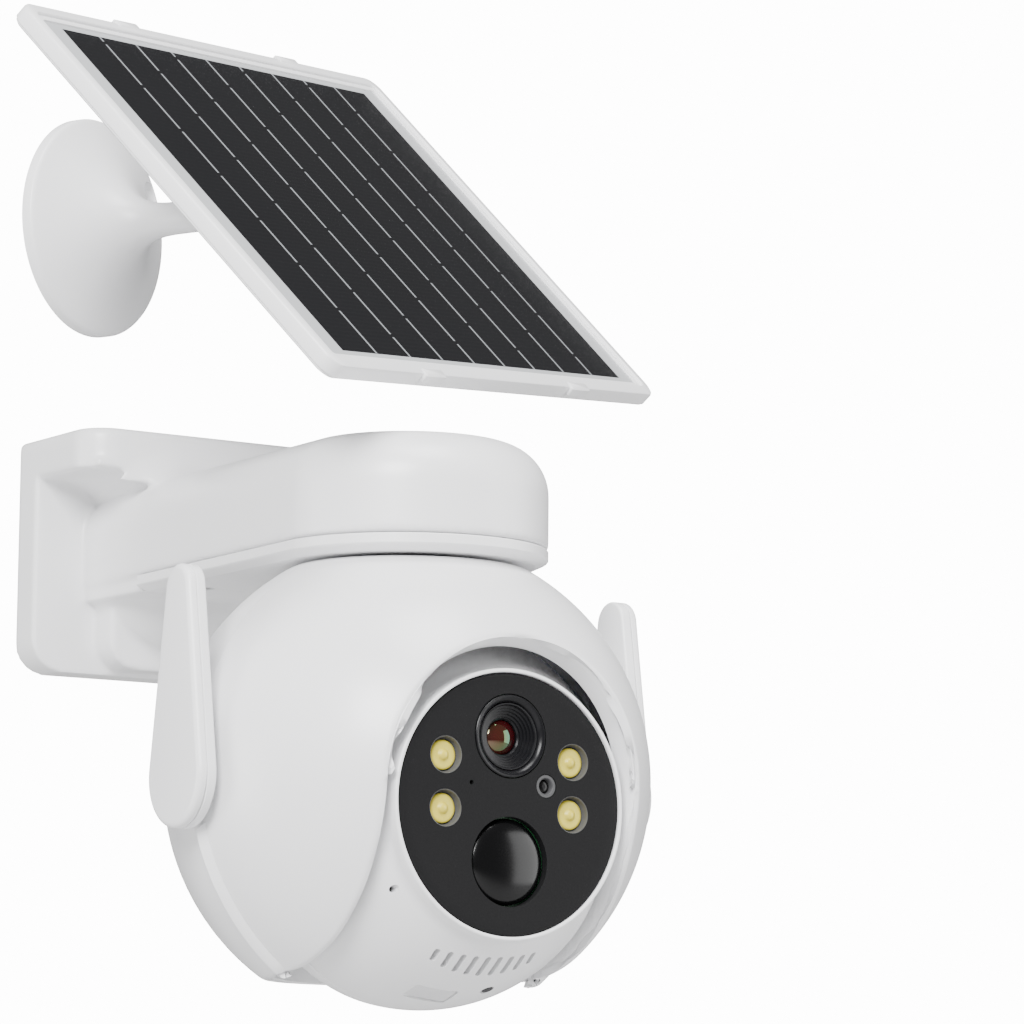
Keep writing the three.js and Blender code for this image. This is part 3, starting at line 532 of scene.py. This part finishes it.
def turned(profile, centre=(0, 0), columns=192, around="y"):
    """Profile of (radius, distance along the axis) turned once round an axis through the centre.
    Point = centre + radius*(cos t, sin t) across the axis, and the distance along it."""
    profile = np.asarray(profile, float)
    t = np.linspace(0, 2 * np.pi, columns, endpoint=False)
    across = profile[:, :1] * np.cos(t), profile[:, :1] * np.sin(t)
    along = np.broadcast_to(profile[:, 1:], across[0].shape)
    u, v = across[0] + centre[0], across[1] + centre[1]
    points = {"y": (u, along, v), "x": (along, u, v), "z": (u, v, along)}[around]
    return np.stack(points, -1), grid_quads(len(profile), columns, around=True)


def under_head(points, degrees):
    """Points hung straight under the head, turned about the tilt axis towards the front."""
    c, s = math.cos(math.radians(degrees)), math.sin(math.radians(degrees))
    x, y, z = np.moveaxis(np.asarray(points, float), -1, 0)
    return np.stack([x, y * c + z * s, z * c - y * s], -1)


def slot_cutter(outline, degrees, deep=46.0, high=56.0):
    """Outline (x, y) made a peg under the head and turned by degrees."""
    points, quads = stacked([at_height(outline, -high), at_height(outline, -deep)])
    return under_head(points, degrees) + HEAD_AT, quads


def speaker_slots():
    """Nine parallel slots whose lengths follow half an ellipse, level along their upper ends."""
    slots = []
    for i in range(9):
        x = (i - 4) * 3.65
        length = 7.6 * math.sqrt(1 - (x / 18) ** 2)
        outline = rounded_rectangle(x - 0.8, x + 0.8, -length / 2, length / 2, 0.79, 0.79, 5)
        slots.append(slot_cutter(outline, 41.5 - math.degrees(length / 2 / HEAD_R)))
    return slots


def head_shell(name, profile, inner_from, cutters, cad_node):
    """Turned shell with flat cheeks: |x| is held at the cheek, and inner rows at the wall behind."""
    points, quads = turned(profile, columns=240)
    rows = np.arange(len(profile))[:, None]
    limit = np.where(rows >= inner_from, HEAD_HALF - 2.4, HEAD_HALF)
    points[..., 0] = np.sign(points[..., 0]) * soft_min(np.abs(points[..., 0]), limit, 1.0)
    bridge = grid_quads(2, 240, around=True)
    bridge = bridge % 240 + np.where(bridge >= 240, 0, (len(profile) - 1) * 240)
    closed = np.concatenate([quads, bridge])
    mesh = new_mesh(name, [(points + HEAD_AT, closed)], 40)
    if cutters:
        mesh = finished(mesh, lambda bench: [carve(bench, cutters)], 40)
    return new_piece(name, mesh, white_case, "head", [cad_node])


def head_arc(radius, from_y, to_y, steps):
    """Meridian of a sphere between two distances along the axis: (sqrt(r^2 - y^2), y)."""
    angles = np.linspace(math.acos(-from_y / radius), math.acos(-to_y / radius), steps)
    return np.stack([radius * np.sin(angles), -radius * np.cos(angles)], 1)


hollow_r = 5.0
hollow_x = RING_R + hollow_r
hollow_y = -math.sqrt((HEAD_R + hollow_r) ** 2 - hollow_x**2)
hollow_end = math.degrees(math.atan2(-hollow_y, -hollow_x))
sphere_start = HEAD_R / (HEAD_R + hollow_r) * hollow_y
front_profile = np.concatenate([
    [[31, -38.2], [31, -40.2], [33.75, -40.2], [33.75, -43.1]],
    arc_points((34.05, -43.1), 0.3, 180, 270, 3)[1:],
    arc_points((34.3, -42.9), 0.5, 270, 360, 5),
    arc_points((hollow_x, hollow_y), hollow_r, 180, hollow_end, 10),
    head_arc(HEAD_R, sphere_start, 1.6, 90)[1:],
    [[51.3, 1.9], [51.0, 2.0], [49.1, 2.0]],
    head_arc(HEAD_R - 2.4, 1.9, -37.6, 40)[1:],
])
rear_profile = np.concatenate([
    [[49.1, 2.3], [51.0, 2.3], [51.35, 2.6]],
    head_arc(HEAD_R, 2.8, 8.2, 8),
    [[50.4, 8.7], [49.8, 9.0], [0.02, 9.0], [0.02, 6.6], [48.5, 6.6]],
])
flap_seat = slot_cutter(rounded_rectangle(-15.4, -0.6, -4.0, 4.0, 0.6, 0.6, 4), 19.5, HEAD_R - 1.9)
reset_hole = slot_cutter(arc_points((8, 0), 1.9, 0, 345, 23), 24)
side_ring = arc_points((-29.9, -22.3), 0.95, 0, 340, 17)
side_points, side_quads = front_prism(side_ring, -50, -30)
head_shell("head_front", front_profile, len(front_profile) - 40,
           [*speaker_slots(), flap_seat, reset_hole, (side_points + HEAD_AT, side_quads)], "head_front_shell")
head_shell("head_rear", rear_profile, len(rear_profile) - 2, [], "head_rear_shell")


# ---- Card flap and reset button --------------------------------------------------------------
# Small soft plugs under the head: a white rubber flap over the card slot, drawn without its
# finger notch, and a dark button in a round hole. Both are moulded and pushed in.
white_rubber = moulded("white_rubber", (0.68, 0.68, 0.69), 0.6, 1400, 0.08)
dark_rubber = moulded("dark_rubber", (0.035, 0.035, 0.037), 0.65, 1400, 0.1)


def curved_pad(outline_half_x, outline_half_y, centre_x, degrees, outer, inner):
    """Rounded pad that follows the head: its points sit at sqrt(r^2 - x^2 - y^2) under the centre."""
    rings = []
    for inset, radius in ((0.5, outer), (0.15, outer - 0.1), (0, outer - 0.35), (0, inner)):
        flat = rounded_rectangle(centre_x - outline_half_x + inset, centre_x + outline_half_x - inset,
                                 -outline_half_y + inset, outline_half_y - inset, 0.9, 0.9, 6)
        depth = -np.sqrt(radius**2 - (flat**2).sum(1))
        rings.append(under_head(np.column_stack([flat, depth]), degrees) + HEAD_AT)
    return stacked(rings)


flap_pad = curved_pad(7.0, 3.6, -8, 19.5, HEAD_R - 0.05, HEAD_R - 1.5)
new_piece("card_cover", new_mesh("card_cover", [flap_pad], 35),
          white_rubber, "card_flap_body", ["card_flap"])
button_ring = [(0.02, -50.9), (1.1, -50.9), (1.4, -50.75), (1.5, -50.4), (1.5, -47.4), (0.02, -47.4)]
button_points, button_quads = turned(button_ring, (8, 0), 48, "z")
button_points = under_head(button_points, 24) + HEAD_AT
new_piece("reset_key", new_mesh("reset_key", [(button_points, button_quads)], 35),
          dark_rubber, "reset_button_body", ["reset_button"])


# ---- Face: plate, lamps, sensors and lens ----------------------------------------------------
# A black moulded plate closes the head. It carries the lens in a stepped black barrel, four
# yellow lamps sunk in dark grey rings, a light sensor, a microphone hole and a glossy motion dome.
LENS_Z = 17.4
DOME_Z = -14.7
EYE_AT = (11.1, 5.1)
LAMPS = [(x, z) for z in (11.7, -1.8) for x in (-19.4, 19.4)]
plate_black = moulded("plate_black", (0.009, 0.009, 0.0095), 0.5, 2600, 0.2, 0.08)
plate_black.node_tree.nodes["Principled BSDF"].inputs["Specular IOR Level"].default_value = 0.08
barrel_black = moulded("barrel_black", (0.006, 0.006, 0.007), 0.3, 1500, 0.05, 0.05)
barrel_black.node_tree.nodes["Principled BSDF"].inputs["Specular IOR Level"].default_value = 0.2
dome_black = moulded("dome_black", (0.002, 0.002, 0.0022), 0.2, 300, 0.0, 0.05)
dome_black.node_tree.nodes["Principled BSDF"].inputs["Specular IOR Level"].default_value = 0.28
lamp_yellow = moulded("lamp_yellow", (0.58, 0.49, 0.05), 0.35, 2600, 0.2, 0.08)
lamp_wall = moulded("lamp_wall", (0.075, 0.075, 0.073), 0.35, 900, 0.03)


def face_ring(profile, at, columns=96):
    """Profile turned about a line through a place on the face, moved to the head's centre."""
    points, quads = turned(profile, at, columns)
    return points + HEAD_AT, quads


def peg(at, radius, columns=72):
    """Round cutter that passes through the plate."""
    return face_ring([(0.01, -47), (radius, -47), (radius, -37), (0.01, -37)], at, columns)


plate_profile = [(0.02, PLATE_FRONT), *[(r, PLATE_FRONT) for r in (8, 16, 24, 30)],
                 *arc_points((PLATE_R - 0.35, PLATE_FRONT + 0.35), 0.35, -90, 0, 5),
                 (PLATE_R, -40.6), (0.02, -40.6)]
plate_holes = [peg((0, LENS_Z), 10.9), peg((0, DOME_Z), 11.5), peg(EYE_AT, 3.1, 40),
               peg((-11.7, 5.0), 0.6, 24), *[peg(at, 4.85, 56) for at in LAMPS]]
plate = finished(new_mesh("plate", [face_ring(plate_profile, (0, 0), 220)], 30),
                 lambda bench: [carve(bench, plate_holes)], 30)
new_piece("face_cover", plate, plate_black, "head", ["face_plate"])

lens = [(0.01, -42.2), (0.5, -42.15), (1.0, -41.95), (1.35, -41.6), (1.5, -41.35), (1.9, -41.25),
        (2.9, -41.35), (3.5, -41.3), (3.8, -41.1), (3.85, -40.8), (3.85, -40.45), (0.01, -40.45)]
for number, at in enumerate(LAMPS, 1):
    new_piece(f"lamp_{number}", new_mesh("lamp", [face_ring(lens, at, 72)], 60),
              lamp_yellow, "head", [f"led_{number}"])
wall_profile = [(4.0, -40.5), (4.45, -41.2), (4.6, -42.7), (4.78, -42.78), (4.8, -40.5), (4.0, -40.5)]
new_piece("lamp_rings", new_mesh("lamp_rings", [face_ring(wall_profile, at, 72) for at in LAMPS], 35),
          lamp_wall, "head", [])

dome_turn = np.radians(np.linspace(0, 90, 28))
dome_arc = np.stack([11.1 * np.sin(dome_turn), -40.6 - 3.1 * np.cos(dome_turn)], 1)
dome_profile = [*dome_arc, (11.1, -40.4), (0.01, -40.4)]
new_piece("motion_dome", new_mesh("motion_dome", [face_ring(dome_profile, (0, DOME_Z), 128)], 40),
          dome_black, "head", ["pir_dome"])

eye_profile = [(0.01, -41.6), (1.0, -41.65), (1.6, -41.5), (1.75, -41.3), (1.75, -40.45), (0.01, -40.45)]
eye_wall = [(1.8, -40.5), (1.85, -42.3), (2.2, -42.75), (2.9, -42.75),
            (3.0, -42.6), (3.0, -40.5), (1.8, -40.5)]
new_piece("light_eye", new_mesh("light_eye", [face_ring(eye_profile, EYE_AT, 48)], 40),
          dome_black, "head", ["light_sensor"])
grey_trim = moulded("grey_trim", (0.045, 0.045, 0.047), 0.45, 900, 0.05)
new_piece("light_eye_ring", new_mesh("light_eye_ring", [face_ring(eye_wall, EYE_AT, 64)], 40),
          grey_trim, "head", [])

bezel_profile = [(8.75, -40.4), (8.75, -41.9), (9.0, -42.4), (9.5, -42.9), (10.0, -43.2), (10.4, -43.2),
                 (10.6, -43.0), (10.65, -40.4), (8.75, -40.4)]
new_piece("lens_ring", new_mesh("lens_ring", [face_ring(bezel_profile, (0, LENS_Z), 144)], 35),
          barrel_black, "head", ["lens_bezel"])
steps = [(4.55, -38.8)]
for k in range(5):
    out, forward = 0.7 * k, -0.55 * k
    steps += [(4.9 + out, -39.2 + forward), (5.15 + out, -39.2 + forward), (5.2 + out, -39.6 + forward)]
barrel_profile = [(0.01, -34), (4.55, -34), *steps, (8.2, -42.1), (8.55, -42.1), (8.6, -41.8),
                  (8.6, -24), (0.01, -24)]
new_piece("lens_tube", new_mesh("lens_tube", [face_ring(barrel_profile, (0, LENS_Z), 128)], 25),
          barrel_black, "head", ["lens_barrel"])

coated_glass = moulded("coated_glass", (0.03, 0.002, 0.003), 0.08, 300, 0.0, 0.1)
glass_shader = coated_glass.node_tree.nodes["Principled BSDF"]
glass_shader.inputs["Thin Film Thickness"].default_value = 420
glass_shader.inputs["Thin Film IOR"].default_value = 1.7
glass_profile = [*[(r, -36.0 - math.sqrt(7.0**2 - r**2) + 3.2) for r in np.linspace(0.01, 4.4, 18)],
                 (4.4, -35.5), (0.01, -35.5)]
new_piece("front_glass", new_mesh("front_glass", [face_ring(glass_profile, (0, LENS_Z), 96)], 40),
          coated_glass, "head", ["lens_glass"])


# ---- Stand -----------------------------------------------------------------------------------
# A white trumpet-shaped foot turned on a round wall disc, with one screw hole near its rim and
# a thin neck that ends at the joint's ball.
STAND_AT = np.array([-33.83, -13.77, 95.4])
STAND_YAW = 25
DISC_R = 31.5
STEM_R = 4.7
STEM_LENGTH = 56.2
JOINT_R = 9
SEAT_R = JOINT_R + 0.3


def yawed(points):
    """Stand points, drawn with the disc's back at the origin, turned and moved to their place."""
    c, s = math.cos(math.radians(STAND_YAW)), math.sin(math.radians(STAND_YAW))
    x, y, z = np.moveaxis(np.asarray(points, float), -1, 0)
    return np.stack([x * c - y * s, x * s + y * c, z], -1) + STAND_AT


flare_t = np.linspace(0, 1, 40)
flare = np.stack([STEM_R + (DISC_R - 1.2 - STEM_R) * (1 - flare_t) ** 3.4, -3.9 - 30.6 * flare_t], 1)
seat_turn = np.radians(np.linspace(18, 0.2, 8))
neck_end = np.stack([SEAT_R * np.sin(seat_turn), -STEM_LENGTH + SEAT_R * np.cos(seat_turn)], 1)
stand_profile = np.concatenate([
    [[0.02, 0], [DISC_R - 0.4, 0], [DISC_R, -0.4], [DISC_R, -3.0], [DISC_R - 0.3, -3.5]], flare,
    np.array([[STEM_R, 16.5], [4.2, 15.7], [3.2, 15.0], [2.85, 14.1], [2.8, 12.3]]) - [0, STEM_LENGTH],
    neck_end])
hole_points, hole_quads = turned([(0.01, -24), (4.8, -24), (4.8, 6), (0.01, 6)], (22.3, 12.9), 64)
stand_points, stand_quads = turned(stand_profile, columns=200)
stand_mesh = finished(new_mesh("stand", [(yawed(stand_points), stand_quads)], 40),
                      lambda bench: [carve(bench, [(yawed(hole_points), hole_quads)])], 40)
new_piece("stand_foot", stand_mesh, white_case, "mount", ["stand"])


# ---- Ball joint ------------------------------------------------------------------------------
# The ball on the stand, the cup that snaps over it, and a ribbed collar that clamps the cup. All
# are moulded plastic: the ball matt, the cup and the collar in the white of the case.
PANEL_LIFT = 40.9
PANEL_SPIN = 9


def tilted(points, spin=0):
    """Points drawn about the joint's ball, spun about the panel's normal, lifted and yawed."""
    x, y, z = np.moveaxis(np.asarray(points, float), -1, 0)
    c, s = math.cos(math.radians(spin)), math.sin(math.radians(spin))
    x, z = x * c - z * s, x * s + z * c
    c, s = math.cos(math.radians(PANEL_LIFT)), math.sin(math.radians(PANEL_LIFT))
    y, z = y * c + z * s, z * c - y * s
    return yawed(np.stack([x, y - STEM_LENGTH, z], -1))


def collar_points():
    """Ribbed ring: its outer radius is r + a*cos(18 t), bounded so that the ribs have flat tops."""
    t = np.linspace(0, 2 * np.pi, 432, endpoint=False)
    rib = np.clip(1.6 * np.cos(18 * t), -1, 1) * 0.4
    rows = []
    section = ((13.35, 1.6, 0), (15.2, 1.8, 0.3), (15.8, 1.3, 1),
               (15.8, -7.0, 1), (15.2, -7.5, 0.3), (13.35, -7.5, 0))
    for radius, y, ribbed in section:
        r = radius + rib * ribbed
        rows.append(np.stack([r * np.cos(t), np.full(432, y), r * np.sin(t)], 1))
    rows.append(rows[0])
    return np.array(rows), grid_quads(7, 432, around=True)


matt_white = moulded("matt_white", (0.74, 0.74, 0.75), 0.5, 1100, 0.06)
turn = np.linspace(0.002, np.pi - 0.002, 40)
ball_shape, ball_quads = turned(np.stack([JOINT_R * np.sin(turn), JOINT_R * np.cos(turn)], 1), columns=80)
new_piece("stand_ball", new_mesh("stand_ball", [(tilted(ball_shape), ball_quads)]),
          matt_white, "swing_ball", ["joint_ball"])
bowl = np.radians(np.linspace(77.6, 179.9, 26))
cup_profile = np.concatenate([
    [[0.02, -13.1], [16.6, -13.1], [17, -12.7], [17, -10.9], [16.6, -10.5], [13.4, -10.5],
     [13, -10.2], [13, 1.6], [12.6, 2.0]],
    np.stack([SEAT_R * np.sin(bowl), SEAT_R * np.cos(bowl)], 1)])
cup_points, cup_quads = turned(cup_profile, columns=128)
new_piece("joint_cup", new_mesh("joint_cup", [(tilted(cup_points), cup_quads)], 35),
          white_case, "panel_cup", ["panel_socket"])
ribs, rib_quads = collar_points()
new_piece("joint_collar", new_mesh("joint_collar", [(tilted(ribs), rib_quads)], 35),
          white_case, "panel_cup", ["clamp_collar"])


# ---- Solar panel -----------------------------------------------------------------------------
# A white moulded frame holds nine dark cells joined by thin pale ribbons under glass; a white
# back shell snaps in behind, held by small clips on the long edges.
PANEL_W = 202
PANEL_H = 136
PANEL_Z = -24.7
FACE_Y = -24.0
CELL_W = 174
CELL_H = 121


def panel_outline(inset, corner, y):
    """Rounded rectangle of the panel shrunk by inset, at a distance y along its normal."""
    flat = rounded_rectangle(-PANEL_W / 2 + inset, PANEL_W / 2 - inset, PANEL_Z - PANEL_H / 2 + inset,
                             PANEL_Z + PANEL_H / 2 - inset, corner, corner, 10)
    return upright(flat, y)


def frame_loop(rows):
    """Closed frame: a section of (inset, corner radius, y) rows carried round the panel's edge."""
    loops = np.array([panel_outline(*row) for row in [*rows, rows[0]]])
    return tilted(loops, PANEL_SPIN), grid_quads(len(loops), loops.shape[1], around=True)


frame_rows = [(0.0, 5, FACE_Y + 4.2), (0.0, 5, FACE_Y + 0.9), (0.25, 4.8, FACE_Y + 0.3),
              (0.9, 4.4, FACE_Y), (3.4, 2.4, FACE_Y), (3.7, 2.2, FACE_Y + 0.25),
              (3.8, 2.1, FACE_Y + 0.75), (5.5, 1.6, FACE_Y + 0.8), (5.6, 1.5, FACE_Y + 1.15),
              (5.6, 1.5, FACE_Y + 1.6), (4.0, 3, FACE_Y + 1.6), (4.0, 3, FACE_Y + 4.2)]


def clip_parts():
    """Four small rounded clips that stand off the long edges."""
    parts = []
    section = ((0.5, FACE_Y - 0.25), (0, FACE_Y + 0.1), (0, FACE_Y + 2.4), (0.6, FACE_Y + 2.8))
    for x in (-46, 46):
        for end in (-1, 1):
            z = PANEL_Z + end * (PANEL_H / 2 - 0.6)
            rings = []
            for inset, y in section:
                outline = rounded_rectangle(x - 6 + inset, x + 6 - inset, z - 1.6 + inset, z + 1.6 - inset,
                                            0.6, 0.6, 4)
                rings.append(upright(outline, y))
            points, quads = stacked(rings)
            parts.append((tilted(points, PANEL_SPIN), quads))
    return parts


new_piece("panel_surround", new_mesh("panel_surround", [frame_loop(frame_rows), *clip_parts()], 32),
          white_case, "panel", ["panel_frame"])


def cell_material():
    """Dark cells in nine columns: thin pale ribbons between them with small staggered breaks, a grey
    margin round them, faint fingers across, and a smooth glass face over all."""
    material = moulded("cell_sheet", (0.005, 0.005, 0.006), 0.3)
    nodes, links = material.node_tree.nodes, material.node_tree.links
    shader = nodes["Principled BSDF"]
    shader.inputs["Specular IOR Level"].default_value = 0.05
    shader.inputs["Coat Weight"].default_value = 0.12
    shader.inputs["Coat Roughness"].default_value = 0.02

    def number(operation, a, b=None):
        node = nodes.new("ShaderNodeMath")
        node.operation = operation
        for socket, value in zip(node.inputs, (a, b)):
            if hasattr(value, "is_output"):
                links.new(value, socket)
            elif value is not None:
                socket.default_value = value
        return node.outputs["Value"]

    flat = nodes.new("ShaderNodeUVMap")
    flat.uv_map = "flat"
    split = nodes.new("ShaderNodeSeparateXYZ")
    links.new(flat.outputs["UV"], split.inputs["Vector"])
    u, v = split.outputs["X"], split.outputs["Y"]
    pitch = CELL_W / 9
    column = number("DIVIDE", number("ADD", u, CELL_W / 2), pitch)
    nearest = number("ROUND", column)
    offset = number("MULTIPLY", number("ABSOLUTE", number("SUBTRACT", column, nearest)), pitch)
    ribbon = number("LESS_THAN", offset, 0.5)
    inner = number("MULTIPLY", number("GREATER_THAN", nearest, 0.5), number("LESS_THAN", nearest, 8.5))
    shift = number("MULTIPLY", number("MODULO", nearest, 2.0), 0.5)
    along = number("FRACT", number("ADD", number("DIVIDE", number("ADD", v, CELL_H), 17.0), shift))
    whole = number("GREATER_THAN", along, 0.07)
    line = number("MULTIPLY", number("MULTIPLY", ribbon, inner), whole)
    outside_u = number("GREATER_THAN", number("ABSOLUTE", u), CELL_W / 2)
    outside_v = number("GREATER_THAN", number("ABSOLUTE", v), CELL_H / 2)
    margin = number("MAXIMUM", outside_u, outside_v)
    finger = number("LESS_THAN", number("FRACT", number("DIVIDE", v, 1.6)), 0.12)

    def mixed(factor, a, b):
        node = nodes.new("ShaderNodeMix")
        node.data_type = "RGBA"
        links.new(factor, node.inputs["Factor"])
        for socket, value in (("A", a), ("B", b)):
            if isinstance(value, tuple):
                node.inputs[socket].default_value = (*value, 1)
            else:
                links.new(value, node.inputs[socket])
        return node.outputs["Result"]

    cloud = shader.inputs["Base Color"].links[0].from_socket
    colour = mixed(finger, cloud, (0.008, 0.008, 0.009))
    colour = mixed(line, colour, (0.22, 0.23, 0.24))
    colour = mixed(margin, colour, (0.42, 0.43, 0.44))
    links.new(colour, shader.inputs["Base Color"])
    return material


SHEET_COLUMNS = 25
SHEET_ROWS = 17
SHEET_INSET = 4.4
inner_w, inner_h = PANEL_W / 2 - SHEET_INSET, PANEL_H / 2 - SHEET_INSET
us, vs = np.meshgrid(np.linspace(-inner_w, inner_w, SHEET_COLUMNS), np.linspace(-inner_h, inner_h, SHEET_ROWS))
sheet_layers = [np.stack([us, np.full(us.shape, y), vs + PANEL_Z], -1) for y in (FACE_Y + 1.2, FACE_Y + 3.4)]
numbers = np.arange(us.size).reshape(us.shape)
rim = np.concatenate([numbers[0], numbers[1:, -1], numbers[-1, -2::-1], numbers[-2:0:-1, 0]])
rim_quads = np.stack([rim, np.roll(rim, -1), np.roll(rim, -1) + us.size, rim + us.size], 1)
flat_quads = grid_quads(SHEET_ROWS, SHEET_COLUMNS)
sheet_quads = np.concatenate([flat_quads, flat_quads + us.size, rim_quads])
sheet = new_mesh("cell_sheet", [(tilted(np.array(sheet_layers), PANEL_SPIN), sheet_quads)], 30)
uv = sheet.uv_layers.new(name="flat")
corners = np.zeros(len(sheet.vertices) * 3)
sheet.vertices.foreach_get("co", corners)
loops = np.zeros(len(sheet.loops), int)
sheet.loops.foreach_get("vertex_index", loops)
origin, along_x, along_z, middle = tilted([[0, 0, 0], [1, 0, 0], [0, 0, 1], [0, FACE_Y, PANEL_Z]], PANEL_SPIN)
across_axis, up_axis = along_x - origin, along_z - origin
from_middle = corners.reshape(-1, 3)[loops] / MM - middle
uv.data.foreach_set("uv", np.stack([from_middle @ across_axis, from_middle @ up_axis], 1).ravel())
new_piece("cell_sheet", sheet, cell_material(), "panel", ["solar_cells", "panel_glass"])

back_rows = [(4.4, 2, FACE_Y + 3.6), (4.4, 2, FACE_Y + 4.4), (0.5, 4.5, FACE_Y + 4.4),
             (0.5, 4.5, FACE_Y + 4.9), (1.0, 4.2, FACE_Y + 5.3), (12, 8, FACE_Y + 5.4),
             (14, 8, FACE_Y + 7.2), (14.6, 7.8, FACE_Y + 7.5)]
back_points, back_quads = stacked([panel_outline(*row) for row in back_rows])
new_piece("panel_rear", new_mesh("panel_rear", [(tilted(back_points, PANEL_SPIN), back_quads)], 32),
          white_case, "panel", ["panel_back"])
pad_profile = [(0.02, -17), (18, -17), (18, -14.2), (17.5, -13.7), (0.02, -13.7)]
pad_points, pad_quads = turned(pad_profile, columns=96)
new_piece("panel_pad", new_mesh("panel_pad", [(tilted(pad_points, PANEL_SPIN), pad_quads)], 35),
          white_case, "panel", [])


# ---- Plain small pieces ----------------------------------------------------------------------
# Screws, gears, boards and plugs keep their CAD shapes: zinc-plated steel, turned brass, natural
# nylon, green laminate, shrink-wrapped cells and soft rubber.
zinc_steel = moulded("zinc_steel", (0.5, 0.51, 0.52), 0.33, 700, 0.1, 0.06, metallic=1.0)
turned_brass = moulded("turned_brass", (0.55, 0.38, 0.14), 0.35, 900, 0.08, 0.05, metallic=1.0)
natural_nylon = moulded("natural_nylon", (0.72, 0.7, 0.6), 0.5, 900, 0.05)
green_board = moulded("green_board", (0.015, 0.1, 0.035), 0.4, 500, 0.08, 0.2)
blue_wrap = moulded("blue_wrap", (0.03, 0.14, 0.4), 0.3, 300, 0.03, 0.05, coat=0.4)
kept_finishes = {
    "steel": zinc_steel, "brass": turned_brass, "nylon": natural_nylon, "circuit_board": green_board,
    "battery_wrap": blue_wrap, "white_rubber": white_rubber, "dark_rubber": dark_rubber,
    "white_plastic": white_case, "soft_white_plastic": matt_white, "black_plastic": plate_black,
}
for row in frame["record"]["subparts"]:
    node = frame["nodes"][row["node"]]
    if not node.hide_render:
        node.data.materials.clear()
        node.data.materials.append(kept_finishes[row["material_slot"]])


# ---- Room ------------------------------------------------------------------------------------
# A pale floor well below the hanging camera, soft lights above and beside it, and the view from
# below and to the left, through a long lens.
floor_mesh = bpy.data.meshes.new("floor")
floor_mesh.from_pydata([(-6, -6, -0.45), (6, -6, -0.45), (6, 6, -0.45), (-6, 6, -0.45)], [], [(0, 1, 2, 3)])
floor = bpy.data.objects.new("floor", floor_mesh)
bpy.context.scene.collection.objects.link(floor)
floor_mesh.materials.append(moulded("pale_floor", (0.62, 0.62, 0.62), 0.7, 60, 0.02))

world = bpy.data.worlds.new("studio")
bpy.context.scene.world = world
world.use_nodes = True
ambient = world.node_tree.nodes["Background"]
ambient.inputs["Color"].default_value = (1, 1, 1, 1)
ambient.inputs["Strength"].default_value = 0.24
backdrop = world.node_tree.nodes.new("ShaderNodeBackground")
backdrop.inputs["Color"].default_value = (1, 1, 1, 1)
backdrop.inputs["Strength"].default_value = 14
rays = world.node_tree.nodes.new("ShaderNodeLightPath")
either = world.node_tree.nodes.new("ShaderNodeMixShader")
world.node_tree.links.new(rays.outputs["Is Camera Ray"], either.inputs["Fac"])
world.node_tree.links.new(ambient.outputs["Background"], either.inputs[1])
world.node_tree.links.new(backdrop.outputs["Background"], either.inputs[2])
world.node_tree.links.new(either.outputs["Shader"], world.node_tree.nodes["World Output"].inputs["Surface"])


def soft_light(name, place, target, size, watts):
    """Square area light at a place, turned to face a target."""
    data = bpy.data.lights.new(name, "AREA")
    data.size = size
    data.energy = watts
    light = bpy.data.objects.new(name, data)
    bpy.context.scene.collection.objects.link(light)
    light.location = place
    away = mathutils.Vector(place) - mathutils.Vector(target)
    light.rotation_euler = away.to_track_quat("Z", "Y").to_euler()


soft_light("key", (-1.1, -1.2, 0.75), (0, -0.1, -0.03), 0.7, 62)
soft_light("top", (-0.1, -0.7, 1.3), (0, -0.12, -0.03), 0.7, 26)
soft_light("fill", (1.1, -0.9, 0.1), (0, -0.1, -0.05), 1.0, 15)
soft_light("edge", (-1.3, 0.4, -0.1), (0, -0.1, -0.03), 0.6, 9)

yaw, pitch, roll = math.radians(33.445), math.radians(8.115), math.radians(0.5)
ahead = mathutils.Vector((math.sin(yaw) * math.cos(pitch), math.cos(yaw) * math.cos(pitch), math.sin(pitch)))
level = mathutils.Vector((math.cos(yaw), -math.sin(yaw), 0))
upward = level.cross(ahead)
right = level * math.cos(roll) + upward * math.sin(roll)
upward = right.cross(ahead)
lens_view = bpy.data.cameras.new("view")
lens_view.sensor_width = 36
lens_view.lens = 154.9
lens_view.clip_start = 0.05
view = bpy.data.objects.new("view", lens_view)
bpy.context.scene.collection.objects.link(view)
view.matrix_world = mathutils.Matrix.Translation((-0.6186, -1.1221, -0.1638)) @ mathutils.Matrix(
    (right, upward, -ahead)).transposed().to_4x4()
bpy.context.scene.camera = view
